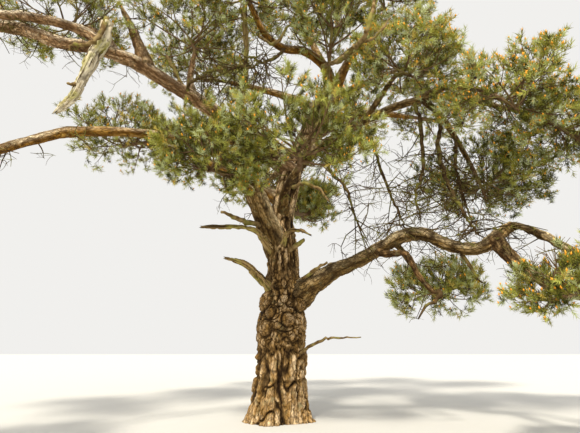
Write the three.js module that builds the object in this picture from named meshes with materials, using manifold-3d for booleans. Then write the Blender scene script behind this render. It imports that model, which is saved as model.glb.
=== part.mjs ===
// An old, open-grown Scots pine with a burred trunk, a long snaking low bough, dead snags and a broad, broken crown.
// Millimetres, +Z up. The origin is the middle of the flat cut under the trunk, at ground level.
// +X is the side of the long low bough, and -Y is the side from which both big left boughs are seen.
import * as THREE from "three";
import { mergeVertices } from "three/addons/utils/BufferGeometryUtils.js";
import Module from "manifold-3d";

const wasm = await Module();
wasm.setup();

// Clearances between neighbouring pieces
const GAP = 0.3; // between a limb and what carries it
const LEAF_CLEARANCE = 6; // between a twig or spray and any limb that it passes
const CELL_MARGIN = 15; // between a spray and the plane halfway to the next mass

// The trunk: its line from the ground cut to the fork, and its radius by height
const TRUNK_LINE = [
  [0, 0, 0], [40, 0, 800], [60, 0, 1600], [95, 0, 2400], [105, 0, 3200], [85, 20, 3950], [62, 60, 4500],
  [130, 110, 5100], [350, 210, 6050], [720, 290, 7050], [1120, 300, 7950], [1540, 300, 8800],
];
const TRUNK_RADII = [
  [0, 610], [350, 575], [900, 545], [1450, 540], [1950, 560], [2250, 520], [2550, 455], [2850, 400], [3250, 382],
  [3750, 370], [4100, 335], [4450, 295], [5100, 300], [5600, 300], [6600, 275], [7600, 250], [8800, 205],
];
const TRUNK_SIDES = 16;
const TRUNK_STEPS = 24;
const TRUNK_RING_CROWDING = 1.25; // above 1, the rings lie closer together near the ground
const ROOT_FLARE = 0.17; // share of the radius that the root buttresses add at the ground
const ROOT_FLARE_HEIGHT = 430;
const BUTTRESSES = [[3, 0.4, 0.6], [5, 2.1, 0.4]]; // lobes round the foot, their turn and their share of the flare
// Burrs and old branch collars on the trunk: height, bearing from +X in degrees, half width, rise
const BURRS = [
  [1930, 231, 190, 95], [2470, 318, 210, 120], [2520, 205, 230, 70], [1700, 290, 260, 45],
  [2150, 85, 240, 80], [3050, 140, 260, 70], [1250, 20, 260, 55],
];

// Limbs: the line that each follows, with its radius as the fourth number of each point.
// Each starts inside its carrier, and is cut back to it.
const LIMBS = [
  { name: "left_stem", line: [
    [50, 20, 3370, 231], [-100, -120, 3940, 239], [-320, -300, 4440, 244], [-530, -450, 4910, 244],
    [-730, -640, 5360, 236], [-970, -920, 5700, 205], [-1210, -1120, 5790, 180]] },
  { name: "mid_left_bough", line: [
    [-1080, -1030, 5740, 165], [-1460, -1300, 5820, 138], [-1770, -1500, 5870, 113], [-2150, -1750, 5830, 101],
    [-2510, -2000, 5800, 92], [-2980, -2400, 5650, 89], [-3410, -2750, 5470, 95], [-3830, -3000, 5310, 103],
    [-4090, -3150, 5150, 98], [-4340, -3500, 4800, 85], [-4490, -3700, 4590, 82], [-4710, -4150, 4240, 62]] },
  { name: "upper_left_bough", line: [
    [320, 150, 5930, 213], [-470, -100, 6450, 211], [-1300, -400, 7050, 196], [-2040, -750, 7480, 180],
    [-2760, -1050, 7800, 169], [-3420, -1400, 8100, 170], [-3940, -1800, 8120, 150], [-4490, -2000, 8140, 139],
    [-4980, -2150, 8100, 130], [-5360, -2300, 8170, 135], [-5720, -2450, 8210, 130], [-6050, -2600, 8150, 120],
    [-6760, -3000, 7930, 72]] },
  { name: "upper_left_top", line: [
    [-4040, -1800, 8170, 135], [-4490, -2100, 8450, 116], [-4970, -2300, 8510, 105], [-5330, -2450, 8490, 99],
    [-5590, -2700, 8340, 102], [-5800, -2950, 8110, 96], [-6320, -3500, 7800, 60]] },
  { name: "front_bough", line: [
    [100, 50, 4560, 130], [130, -550, 4980, 112], [270, -1150, 5110, 93], [420, -1700, 5130, 75]] },
  { name: "front_left_bough", line: [
    [-530, -450, 4900, 95], [-740, -850, 5080, 84], [-920, -1200, 5130, 73], [-1080, -1480, 5100, 62]] },
  { name: "right_low_bough", line: [
    [120, 20, 2450, 300], [500, -40, 2700, 275], [860, -150, 2960, 236], [1260, -250, 3180, 188],
    [1720, -360, 3350, 156], [2250, -500, 3620, 156], [2810, -680, 3910, 148], [3220, -850, 3940, 147],
    [3580, -1050, 3720, 139], [3910, -1250, 3520, 131], [4240, -1450, 3470, 138], [4540, -1620, 3660, 134],
    [4750, -1720, 3820, 98], [4920, -1850, 3820, 85], [5220, -2100, 3530, 87], [5440, -2500, 3140, 83],
    [5710, -2900, 2870, 58]] },
  { name: "right_low_drop", line: [
    [4500, -1600, 3640, 140], [4600, -1740, 3320, 138], [4740, -2000, 2960, 125], [4780, -2500, 2560, 82]] },
  { name: "right_low_hook", line: [
    [2250, -540, 3600, 75], [2480, -760, 3500, 80], [2650, -950, 3470, 73], [2800, -1050, 3440, 70],
    [2900, -1100, 3220, 65], [3000, -1150, 2930, 61], [3170, -1200, 2690, 54], [3360, -1250, 2480, 33]] },
  { name: "right_arch_bough", line: [
    [450, 200, 6150, 165], [1050, 100, 6640, 148], [1580, -30, 6870, 130], [2200, -430, 7100, 112],
    [2900, -900, 7240, 98], [3600, -1280, 7250, 90]] },
  { name: "right_arch_drop", line: [
    [3500, -1240, 7240, 85], [3900, -1180, 6800, 78], [4330, -900, 6320, 69], [4700, -560, 5950, 60]] },
  { name: "right_rise_bough", line: [
    [3480, -1230, 7250, 84], [3850, -1500, 7330, 76], [4150, -1720, 7230, 68], [4350, -1830, 7120, 60]] },
  { name: "right_reach_bough", line: [
    [3380, -1150, 7260, 88], [4150, -900, 7520, 79], [5050, -950, 7330, 69], [5800, -1120, 6980, 60]] },
  { name: "right_front_bough", line: [
    [2200, -430, 7090, 85], [2420, -760, 7360, 76], [2620, -1060, 7580, 67], [2740, -1280, 7690, 58]] },
  { name: "top_left_limb", line: [
    [1500, 300, 8600, 155], [1300, 60, 9170, 135], [700, -440, 9310, 115], [100, -830, 9090, 102],
    [-390, -1140, 9300, 92], [-740, -1440, 9900, 75]] },
  { name: "top_right_limb", line: [
    [1560, 300, 8620, 160], [1820, 200, 9150, 138], [2160, 90, 9750, 118], [2500, 0, 10220, 102],
    [2680, -90, 10850, 90], [2840, -180, 11450, 78]] },
  { name: "top_leader", line: [
    [1520, 330, 8600, 150], [1330, 600, 9600, 124], [1020, 800, 10600, 98], [820, 900, 11500, 72]] },
  { name: "left_high_bough", line: [
    [-2220, -840, 7560, 95], [-2290, -940, 8030, 84], [-2240, -1060, 8400, 73], [-2180, -1150, 8620, 62]] },
  { name: "left_far_high_bough", line: [
    [-3900, -1740, 8140, 100], [-4150, -1560, 8620, 87], [-4480, -1550, 8930, 75], [-4750, -1570, 9060, 62]] },
  { name: "back_left_bough", line: [
    [450, 240, 6400, 155], [-500, 1000, 7150, 128], [-1650, 1750, 7700, 102], [-2400, 2230, 7900, 75]] },
  { name: "back_bough", line: [
    [320, 200, 5850, 160], [220, 1200, 6450, 132], [-120, 2250, 6850, 105], [-400, 3050, 7000, 78]] },
  { name: "back_right_bough", line: [
    [650, 280, 6800, 150], [1200, 1250, 7700, 125], [1700, 2200, 8550, 100], [2050, 2900, 9050, 75]] },
  { name: "back_far_right_bough", line: [
    [850, 300, 7350, 145], [2000, 780, 8000, 121], [3250, 1420, 8500, 96], [4150, 1900, 8700, 72]] },
  { name: "high_right_bough", line: [
    [1250, 300, 8050, 130], [2000, 650, 8800, 109], [2850, 950, 9400, 88], [3350, 1030, 9700, 68]] },
  { name: "high_left_bough", line: [
    [1120, 300, 7850, 135], [300, 780, 8650, 113], [-850, 1180, 9300, 90], [-1600, 1330, 9600, 68]] },
  { name: "low_left_back_bough", line: [
    [150, 120, 5050, 150], [-950, 380, 5800, 124], [-2400, 520, 6600, 98], [-3350, 560, 6950, 72]] },
  { name: "low_right_back_bough", line: [
    [2520, -590, 3770, 92], [2850, -180, 3840, 82], [3200, 180, 3560, 70], [3450, 380, 3260, 58]] },
  // Dead wood, bare and broken off
  { name: "upright_snag", dead: true, line: [
    [-3270, -1345, 8080, 165], [-3560, -1360, 8760, 135], [-3780, -1420, 9270, 98], [-4140, -1500, 9940, 40]] },
  { name: "torn_limb", dead: true, line: [
    [-4040, -2060, 8740, 110], [-4040, -2070, 8240, 126], [-4140, -2140, 7800, 135], [-4180, -2210, 7410, 146],
    [-4290, -2200, 7020, 133], [-4410, -2170, 6690, 104], [-4600, -2120, 6480, 84], [-4790, -2080, 6330, 43]] },
  { name: "lichened_limb", dead: true, line: [
    [-1180, -400, 6900, 104], [-1030, -750, 7180, 92], [-910, -1050, 7630, 76], [-830, -1300, 8270, 66],
    [-860, -1450, 9120, 64], [-960, -1500, 9750, 48]] },
  { name: "long_left_stub", dead: true, line: [
    [-120, -120, 3640, 100], [-330, -430, 3900, 92], [-520, -720, 4050, 68], [-900, -930, 4080, 55],
    [-1700, -1180, 4010, 48]] },
  { name: "low_left_stub", dead: true, line: [
    [-150, -120, 2740, 95], [-500, -580, 3080, 84], [-760, -800, 3270, 68], [-1100, -1000, 3340, 48]] },
  { name: "front_stub", dead: true, line: [
    [60, -130, 3700, 75], [200, -690, 3990, 62], [450, -860, 4030, 48], [690, -1000, 3900, 32]] },
];
const LIMB_SIDES = 6;
const DEAD_SIDES = 5;
const LIMB_STEP = 700; // length of limb to each ring, about

// Masses of foliage: the bough whose tip carries each, or the point inside the trunk where its stem starts,
// then the middle and the half sizes of the space that it fills.
const MASSES = [
  { name: "front_foliage", bough: "front_bough", middle: [420, -2850, 5380], size: [1650, 1350, 1100] },
  { name: "front_left_foliage", bough: "front_left_bough", middle: [-1350, -2300, 5250], size: [1300, 1150, 1100] },
  { name: "right_front_foliage", bough: "right_front_bough", middle: [3000, -1980, 7700], size: [1600, 1300, 980] },
  { name: "right_rise_foliage", bough: "right_rise_bough", middle: [5050, -2350, 6550], size: [1600, 1400, 1050] },
  { name: "right_reach_foliage", bough: "right_reach_bough", middle: [6950, -1400, 6350], size: [1700, 1500, 1050] },
  { name: "right_middle_foliage", bough: "right_arch_drop", middle: [5350, 120, 5550], size: [1900, 1600, 1100] },
  { name: "near_right_foliage", bough: "right_low_drop", middle: [4700, -3600, 2450], size: [1200, 1050, 680] },
  { name: "outer_right_foliage", bough: "right_low_bough", middle: [6850, -3150, 3050], size: [1450, 1300, 850] },
  { name: "low_back_right_foliage", bough: "low_right_back_bough", middle: [4100, 850, 2950], size: [1400, 1250, 780] },
  { name: "left_high_foliage", bough: "left_high_bough", middle: [-2250, -1350, 9250], size: [1850, 1550, 1100] },
  { name: "left_far_high_foliage", bough: "left_far_high_bough", middle: [-5350, -1650, 9350], size: [1800, 1600, 1050] },
  { name: "left_low_foliage", bough: "mid_left_bough", middle: [-5750, -4750, 4450], size: [1450, 1350, 850] },
  { name: "left_outer_foliage", bough: "upper_left_bough", middle: [-7900, -2900, 8150], size: [1600, 1450, 950] },
  { name: "left_outer_front_foliage", bough: "upper_left_top", middle: [-6650, -4600, 8150], size: [1450, 1350, 900] },
  { name: "back_left_foliage", bough: "back_left_bough", middle: [-3350, 2950, 8250], size: [1950, 1700, 1100] },
  { name: "back_foliage", bough: "back_bough", middle: [-700, 4150, 7300], size: [1950, 1750, 1100] },
  { name: "back_right_foliage", bough: "back_right_bough", middle: [2400, 3900, 9900], size: [1900, 1700, 1100] },
  { name: "back_far_right_foliage", bough: "back_far_right_bough", middle: [5600, 2350, 9200], size: [1850, 1650, 1080] },
  { name: "high_right_foliage", bough: "high_right_bough", middle: [4250, 1050, 10500], size: [1800, 1600, 1050] },
  { name: "high_left_foliage", bough: "high_left_bough", middle: [-2650, 1500, 10250], size: [1950, 1700, 1150] },
  { name: "low_left_back_foliage", bough: "low_left_back_bough", middle: [-4550, 620, 7250], size: [1800, 1600, 1000] },
  { name: "crown_top_foliage", bough: "top_leader", middle: [600, 1000, 12450], size: [1950, 1750, 1150] },
  { name: "top_right_foliage", bough: "top_right_limb", middle: [3150, -300, 11850], size: [1750, 1550, 1100] },
  { name: "top_front_foliage", bough: "top_left_limb", middle: [-900, -1950, 10200], size: [1750, 1550, 1150] },
  { name: "top_middle_foliage", start: [1300, 200, 8350], middle: [1350, -1450, 9700], size: [1600, 1400, 1000] },
  { name: "behind_trunk_foliage", start: [200, 110, 4850], middle: [970, 2350, 5850], size: [850, 900, 900] },
];

// The rule that fills each mass's space
const TWIGS = 6; // main twigs to a mass
const TURN = 2.399963; // from each twig to the next round the stem, the golden angle
const LOWEST_TWIG = -0.5; // how far under the middle the first twig points, as a share of the half height
const HIGHEST_TWIG = 0.88;
const TWIG_REACH = 0.56; // how far out the main twigs go, as a share of the space
const SPRAY_REACH = 0.64; // length of a spray, as a share of the space's mean width
const SIDE_NODES = [0.4, 0.68]; // places along a main twig that carry a side spray
const STEM_SIDES = 4;
const STEM_NODES = [0.5, 0.72, 0.94]; // places along a stem that main twigs leave from
const TRUNK_STEM = 70; // radius of a stem that leaves the trunk itself
const BEARINGS = 4; // bearings that a main twig may try
const MAIN_THICK = 24;
const SIDE_THICK = 13;
const SIDE_STALK = 0.4; // length of a side spray's bare twig, as a share of the spray
const TILT = 0.9; // how much the sprays lean out of level, at random
const NEEDLE_TEETH = 4; // pointed teeth of the blade that stands for a spray of needles
const NOTCH = 0.42; // how deep the outline is cut between teeth
const TEETH_SPREAD = 0.9; // angle from the spray's line to its outermost tooth
const SHORTER_SIDES = 0.22; // how much shorter the outermost teeth are than the middle one
const BLADE_CREST = 0.3; // where the blade is thickest, and half of its thickness there, as shares of its length
const BLADE_THICKNESS = 0.05;

const BARK = { trunk: 0x6f5339, limb: 0x8a6444, dead: 0xa79f84, needles: 0x5f6f35 };

const vector = (p) => new THREE.Vector3(...p);

// Park and Miller's generator, from 0 to 1: the same draws in the same order each time.
function seeded(seed) {
  let state = seed;
  return () => {
    state = (state * 48271) % 2147483647;
    return state / 2147483647;
  };
}

function curveThrough(line) {
  return new THREE.CatmullRomCurve3(line.map(vector), false, "catmullrom", 0.5);
}

// The value of a table of [key, value] rows at a place between its keys
function between(table, at) {
  const place = THREE.MathUtils.clamp(at, table[0][0], table[table.length - 1][0]);
  const next = Math.max(1, table.findIndex(([key]) => key >= place));
  const [k0, v0] = table[next - 1];
  const [k1, v1] = table[next];
  return THREE.MathUtils.mapLinear(place, k0, k1, v0, v1);
}

// A closed cylinder of three.js, with each of its rings moved to where ringAt(share) puts it.
function bentCylinder(sides, steps, ringAt) {
  const geometry = new THREE.CylinderGeometry(1, 1, 1, sides, steps);
  const rings = Array.from({ length: steps + 1 }, (_, k) => ringAt(k / steps));
  const position = geometry.attributes.position;
  const v = new THREE.Vector3();
  for (let i = 0; i < position.count; i++) {
    v.fromBufferAttribute(position, i);
    const ring = rings[Math.round((v.y + 0.5) * steps)];
    const out = Math.hypot(v.x, v.z) * ring.radius(Math.atan2(v.z, v.x));
    const angle = Math.atan2(v.z, v.x);
    v.copy(ring.centre)
      .addScaledVector(ring.across, out * Math.cos(angle))
      .addScaledVector(ring.over, out * Math.sin(angle));
    position.setXYZ(i, v.x, v.y, v.z);
  }
  return geometry;
}

function toSolid(geometry) {
  const bare = geometry.clone();
  bare.deleteAttribute("normal");
  bare.deleteAttribute("uv");
  const merged = mergeVertices(bare, 1e-3);
  return new wasm.Manifold(
    new wasm.Mesh({
      numProp: 3,
      vertProperties: merged.attributes.position.array,
      triVerts: new Uint32Array(merged.index.array),
    }),
  );
}

function toGeometry(solid) {
  const mesh = solid.getMesh();
  const position = new Float32Array(mesh.numVert * 3);
  for (let i = 0; i < mesh.numVert; i++) {
    position.set(mesh.vertProperties.subarray(i * mesh.numProp, i * mesh.numProp + 3), i * 3);
  }
  return new THREE.BufferGeometry()
    .setAttribute("position", new THREE.BufferAttribute(position, 3))
    .setIndex(new THREE.BufferAttribute(mesh.triVerts, 1))
    .toNonIndexed();
}

// The trunk's radius at a height and bearing, with its buttresses and burrs
function trunkRadius(height, bearing) {
  let radius = between(TRUNK_RADII, height);
  const flare = ROOT_FLARE * Math.exp(-height / ROOT_FLARE_HEIGHT);
  for (const [lobes, turn, share] of BUTTRESSES) {
    radius *= 1 + flare * share * (1 + Math.cos(lobes * bearing + turn));
  }
  for (const [at, degrees, width, rise] of BURRS) {
    const round = Math.atan2(Math.sin(bearing - degrees * THREE.MathUtils.DEG2RAD),
      Math.cos(bearing - degrees * THREE.MathUtils.DEG2RAD));
    const off = ((height - at) ** 2 + (round * radius) ** 2) / width ** 2;
    radius += rise * Math.exp(-off);
  }
  return radius;
}

function trunkSolid(grow) {
  const line = curveThrough(TRUNK_LINE);
  const across = new THREE.Vector3(1, 0, 0);
  const over = new THREE.Vector3(0, -1, 0);
  return toSolid(
    bentCylinder(TRUNK_SIDES, TRUNK_STEPS, (share) => {
      const centre = line.getPoint(share ** TRUNK_RING_CROWDING);
      const height = centre.z;
      centre.z += share === 1 ? grow : 0;
      return { centre, across, over, radius: (angle) => trunkRadius(height, -angle) + grow };
    }),
  );
}

// Frames carried along a curve without twist
function framesAlong(curve, steps) {
  const frames = [];
  let across = null;
  for (let k = 0; k <= steps; k++) {
    const tangent = curve.getTangent(k / steps);
    const guide = across ?? (Math.abs(tangent.z) < 0.9 ? new THREE.Vector3(0, 0, 1) : new THREE.Vector3(1, 0, 0));
    across = guide.clone().addScaledVector(tangent, -guide.dot(tangent)).normalize();
    frames.push({ tangent, across, over: across.clone().cross(tangent) });
  }
  return frames;
}

// The radius of a limb at a share of its line
function limbRadius({ line }, share) {
  const at = share * (line.length - 1);
  const k = Math.min(Math.floor(at), line.length - 2);
  return THREE.MathUtils.lerp(line[k][3], line[k + 1][3], at - k);
}

function tubeSolid({ curve, radiusAt, sides, steps, grow = 0 }) {
  const frames = framesAlong(curve, steps);
  return toSolid(
    bentCylinder(sides, steps, (share) => {
      const { tangent, across, over } = frames[Math.round(share * steps)];
      const centre = curve.getPoint(share).addScaledVector(tangent, share === 1 ? grow : 0);
      const radius = radiusAt(share) + grow;
      return { centre, across, over, radius: () => radius };
    }),
  );
}

function limbSolid(limb, grow) {
  const curve = curveThrough(limb.line);
  const steps = Math.max(3, Math.round(curve.getLength() / LIMB_STEP));
  const radiusAt = (share) => limbRadius(limb, share);
  return tubeSolid({ curve, radiusAt, sides: limb.dead ? DEAD_SIDES : LIMB_SIDES, steps, grow });
}

function boxesMeet(a, b) {
  const p = a.boundingBox();
  const q = b.boundingBox();
  return [0, 1, 2].every((k) => p.min[k] <= q.max[k] && q.min[k] <= p.max[k]);
}

// The solid with the material of these others taken away, as its one largest piece
function clearOf(solid, others) {
  const cut = others.filter((other) => boxesMeet(solid, other)).reduce((left, other) => left.subtract(other), solid);
  return largest(cut);
}

function largest(solid) {
  const pieces = solid.decompose().filter((piece) => piece.volume() > 0);
  return pieces.sort((a, b) => b.volume() - a.volume())[0];
}

function touchesAny(solid, others) {
  return others.some((other) => boxesMeet(solid, other) && !solid.intersect(other).isEmpty());
}

// A closed mesh that twigs grow out of: rings of points joined by faces, of which any may give way to a twig.
// All rings run the same way round as seen from the twig's end.
function addRing(mesh, centre, across, over, radius, sides) {
  const first = mesh.points.length;
  for (let k = 0; k < sides; k++) {
    const angle = (2 * Math.PI * k) / sides;
    const point = centre.clone().addScaledVector(across, radius * Math.cos(angle));
    mesh.points.push(point.addScaledVector(over, radius * Math.sin(angle)));
  }
  return Array.from({ length: sides }, (_, k) => first + k);
}

function addSection(mesh, from, to) {
  const first = mesh.faces.length;
  from.forEach((a, k) => {
    const next = (k + 1) % from.length;
    mesh.faces.push([a, from[next], to[k]], [from[next], to[next], to[k]]);
  });
  return Array.from({ length: 2 * from.length }, (_, k) => first + k);
}

// The face of a stretch that looks most nearly along a direction and hasn't given way to a twig yet
function faceToward(mesh, stretch, direction) {
  const facing = (id) => {
    const [a, b, c] = mesh.faces[id].map((i) => mesh.points[i]);
    return new THREE.Triangle(a, b, c).getNormal(new THREE.Vector3()).dot(direction);
  };
  const free = stretch.filter((id) => mesh.faces[id]);
  return free.sort((p, q) => facing(q) - facing(p))[0];
}

// The three corners of an opened face, turned so that each meets the nearest point of the ring to come
function openFace(mesh, id, ring) {
  const corners = mesh.faces[id];
  mesh.faces[id] = null;
  const turns = [0, 1, 2].map((t) => corners.map((_, k) => corners[(k + t) % 3]));
  const span = (turn) => turn.reduce((sum, i, k) => sum + mesh.points[i].distanceTo(mesh.points[ring[k]]), 0);
  return turns.sort((p, q) => span(p) - span(q))[0];
}

// The middles and half widths of a spray's rings: its root, the short stretch that side sprays leave from, and its end
function ringsOf({ start, end, thick, nodes = [] }) {
  const length = start.distanceTo(end);
  const shares = nodes.flatMap((share) => [share - thick / length, share + thick / length]);
  return [...shares, 1].map((share) => ({
    centre: start.clone().lerp(end, share), radius: THREE.MathUtils.lerp(thick, 0.6 * thick, share),
  }));
}

// A spray of needles: a three-sided twig that ends in a flat blade, its outline cut to pointed teeth and its middle
// thickest. It grows out of an open face, or from a closed root where none is given. Returns its stretches.
function addSpray(mesh, spray, face = null) {
  const { start, end, facing, length, thick } = spray;
  const along = end.clone().sub(start).normalize();
  const side = facing.clone().cross(along).normalize();
  const up = along.clone().cross(side).normalize();
  let ring;
  if (face === null) {
    ring = addRing(mesh, start, side, up, thick, 3);
    mesh.faces.push([ring[0], ring[2], ring[1]]);
  }
  const stretches = [];
  for (const { centre, radius } of ringsOf(spray)) {
    const next = addRing(mesh, centre, side, up, radius, 3);
    stretches.push(addSection(mesh, ring ?? openFace(mesh, face, next), next));
    ring = next;
  }
  addBlade(mesh, ring, { end, along, side, up, length });
  return stretches;
}

function addBlade(mesh, [right, ridge, left], { end, along, side, up, length }) {
  const at = (x, y, z) => end.clone().addScaledVector(along, x * length).addScaledVector(side, y * length)
    .addScaledVector(up, z * length);
  const top = mesh.points.push(at(BLADE_CREST, 0, BLADE_THICKNESS)) - 1;
  const under = mesh.points.push(at(BLADE_CREST, 0, -BLADE_THICKNESS)) - 1;
  const rim = [right];
  for (let k = 2 * NEEDLE_TEETH - 2; k >= 0; k--) {
    const angle = TEETH_SPREAD * (k / (NEEDLE_TEETH - 1) - 1);
    const out = k % 2 ? NOTCH : 1 - SHORTER_SIDES * Math.abs(angle / TEETH_SPREAD);
    rim.push(mesh.points.push(at(out * Math.cos(angle), out * Math.sin(angle), 0)) - 1);
  }
  rim.push(left);
  for (let k = 0; k + 1 < rim.length; k++) {
    mesh.faces.push([top, rim[k + 1], rim[k]], [under, rim[k], rim[k + 1]]);
  }
  mesh.faces.push([top, right, ridge], [top, ridge, left], [under, left, right]);
}

function meshSolid(mesh) {
  const geometry = new THREE.BufferGeometry().setFromPoints(mesh.points).setIndex(mesh.faces.filter(Boolean).flat());
  return toSolid(geometry);
}

// A spray alone, to see whether it fits
function spraySolid(spray) {
  const mesh = { points: [], faces: [] };
  addSpray(mesh, spray);
  return { solid: meshSolid(mesh), points: mesh.points };
}

// The sprays of one mass, as a list of places: the same rule for every mass.
// Each main twig has several bearings to try, and carries side sprays, which are left out with it if none has room.
function growthOf(mass, index) {
  const random = seeded(1000 + 77 * index);
  const middle = vector(mass.middle);
  const size = vector(mass.size);
  const stem = stemCurve(mass);
  const width = (size.x + size.y) / 2;
  const phase = random() * 2 * Math.PI;
  const twigs = [];
  for (let i = 0; i < TWIGS; i++) {
    const rise = THREE.MathUtils.lerp(LOWEST_TWIG, HIGHEST_TWIG, (i + 0.5) / TWIGS);
    const node = STEM_NODES[Math.floor((i * STEM_NODES.length) / TWIGS)];
    const start = stem.getPoint(node);
    const bearings = Array.from({ length: BEARINGS }, (_, k) => phase + i * TURN + 0.55 * k + 0.4 * (random() - 0.5));
    const reach = TWIG_REACH * (0.9 + 0.2 * random());
    const draws = Array.from({ length: 8 }, random);
    twigs.push(bearings.map((bearing) => {
      const level = Math.sqrt(1 - rise * rise);
      const outward = new THREE.Vector3(level * Math.cos(bearing), level * Math.sin(bearing), rise);
      const end = middle.clone().add(outward.clone().multiply(size).multiplyScalar(reach));
      return { node, ...spraysOf(start, end, outward, width, draws) };
    }));
  }
  return twigs;
}

function spraysOf(start, end, outward, width, draws) {
  const line = end.clone().sub(start).normalize();
  const facing = outward.clone().add(new THREE.Vector3(0, 0, 0.6)).normalize();
  const sideways = facing.clone().cross(line).normalize();
  const tilted = (draw) => facing.clone().addScaledVector(sideways, TILT * (draw - 0.5)).normalize();
  const length = width * SPRAY_REACH;
  const main = {
    start, end, facing: tilted(draws[0]), length: length * (0.9 + 0.2 * draws[1]), thick: MAIN_THICK, nodes: SIDE_NODES,
  };
  const sides = SIDE_NODES.map((share, k) => {
    const from = start.clone().lerp(end, share);
    const along = line.clone().multiplyScalar(0.5).addScaledVector(sideways, k % 2 ? 1 : -1)
      .add(new THREE.Vector3(0, 0, 0.3 * draws[2 + k])).normalize();
    return {
      start: from, end: from.clone().addScaledVector(along, SIDE_STALK * length), facing: tilted(draws[4 + k]),
      length: length * (0.75 + 0.25 * draws[6 + k]), thick: SIDE_THICK,
    };
  });
  return { main, sides };
}

// The line of a mass's stem, from its bough's tip or from inside the trunk to just under the mass's middle
function stemCurve(mass) {
  const goal = vector(mass.middle).add(new THREE.Vector3(0, 0, -0.35 * mass.size[2]));
  if (mass.start) {
    const start = vector(mass.start);
    const lift = start.clone().lerp(goal, 0.5).add(new THREE.Vector3(0, 0, -200));
    return new THREE.QuadraticBezierCurve3(start, lift, goal);
  }
  const carrier = curveThrough(LIMBS.find((limb) => limb.name === mass.bough).line);
  const heading = carrier.getTangent(1);
  const start = carrier.getPoint(1).addScaledVector(heading, GAP);
  return new THREE.QuadraticBezierCurve3(
    start, start.clone().addScaledVector(heading, 0.45 * start.distanceTo(goal)), goal,
  );
}

function stemRadius(mass, share) {
  const carrier = LIMBS.find((limb) => limb.name === mass.bough);
  const root = carrier ? 0.96 * limbRadius(carrier, 1) : TRUNK_STEM;
  return THREE.MathUtils.lerp(root, 0.5 * root, share);
}

function stemSolid(mass, grow) {
  const radiusAt = (share) => stemRadius(mass, share);
  return tubeSolid({ curve: stemCurve(mass), radiusAt, sides: STEM_SIDES, steps: 4, grow });
}

// The stem of a mass as the start of a growing mesh, with a short stretch at each place that twigs leave from
function addStem(mesh, mass) {
  const curve = stemCurve(mass);
  const half = 38 / curve.getLength();
  const shares = [0, 0.25, ...STEM_NODES.flatMap((node) => [node - half, node + half])];
  const frames = framesAlong(curve, 20);
  const stretches = {};
  let ring = null;
  shares.forEach((share, k) => {
    const { across, over } = frames[Math.min(20, Math.round(share * 20))];
    const centre = curve.getPoint(Math.min(1, share));
    const next = addRing(mesh, centre, across, over.clone().negate(), stemRadius(mass, share), STEM_SIDES);
    if (ring) stretches[k] = addSection(mesh, ring, next);
    ring = next;
  });
  const first = Array.from({ length: STEM_SIDES }, (_, k) => k);
  first.slice(2).forEach((_, k) => mesh.faces.push([0, k + 2, k + 1]));
  ring.slice(2).forEach((_, k) => mesh.faces.push([ring[0], ring[k + 1], ring[k + 2]]));
  return STEM_NODES.map((_, k) => stretches[2 * k + 3]);
}

// True where a point lies on a mass's own side of the planes between it and every other mass
function inOwnSpace(point, mass) {
  const power = (m) => {
    const reach = (m.size[0] + m.size[1]) / 2;
    return point.distanceToSquared(vector(m.middle)) - reach * reach;
  };
  const own = power(mass);
  return MASSES.every((other) => {
    const apart = vector(other.middle).distanceTo(vector(mass.middle));
    return other === mass || power(other) - own > 2 * apart * CELL_MARGIN;
  });
}

// One mass as a single closed mesh: its stem, then each spray that finds room
function massSolid(mass, index, obstacles) {
  const mesh = { points: [], faces: [] };
  const stretches = addStem(mesh, mass);
  const placed = [];
  const fits = (spray, carrier) => {
    const { solid, points } = spraySolid(spray);
    const clear = points.every((point) => inOwnSpace(point, mass) && point.z > 0)
      && !touchesAny(solid, [...obstacles, ...placed.filter((other) => other !== carrier)]);
    if (clear) placed.push(solid);
    return clear && solid;
  };
  const grown = [];
  for (const choices of growthOf(mass, index)) {
    for (const twig of choices) {
      const solid = fits({ ...twig.main, start: pastNode(twig.main) }, null);
      if (!solid) continue;
      const along = twig.main.end.clone().sub(twig.main.start).normalize();
      const face = faceToward(mesh, stretches[STEM_NODES.indexOf(twig.node)], along);
      grown.push({ ...twig, solid, stretches: addSpray(mesh, twig.main, face) });
      break;
    }
  }
  for (const twig of grown) {
    twig.sides.forEach((side, k) => {
      if (!fits(side, twig.solid)) return;
      const along = side.end.clone().sub(side.start).normalize();
      addSpray(mesh, side, faceToward(mesh, twig.stretches[2 * k + 1], along));
    });
  }
  return meshSolid(mesh);
}

// Where a main twig is clear of the stem and of the others that leave it at the same place
function pastNode({ start, end }) {
  return start.clone().lerp(end, 0.2);
}

const materials = Object.fromEntries(
  Object.entries(BARK).map(([name, color]) => [
    name, new THREE.MeshStandardMaterial({ color, roughness: 0.9, metalness: 0 }),
  ]),
);

const tree = new THREE.Group();
function addNode(name, solid, material) {
  const mesh = new THREE.Mesh(toGeometry(solid), materials[material]);
  mesh.name = name;
  tree.add(mesh);
}

// The trunk first, then each limb cut clear of all that were placed before it
addNode("trunk", trunkSolid(0), "trunk");
const grownTrunk = trunkSolid(GAP);
const grownWood = [grownTrunk];
const obstacles = [trunkSolid(LEAF_CLEARANCE)];
for (const limb of LIMBS) {
  addNode(limb.name, clearOf(limbSolid(limb, 0), grownWood), limb.dead ? "dead" : "limb");
  grownWood.push(limbSolid(limb, GAP));
  obstacles.push(limbSolid(limb, LEAF_CLEARANCE));
}

const stems = MASSES.map((mass) => stemSolid(mass, LEAF_CLEARANCE));
MASSES.forEach((mass, index) => {
  const inTheWay = [...obstacles, ...stems.filter((_, other) => other !== index)];
  const grown = massSolid(mass, index, inTheWay);
  addNode(mass.name, clearOf(grown, mass.start ? [grownTrunk] : []), "needles");
});

export default tree;
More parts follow.
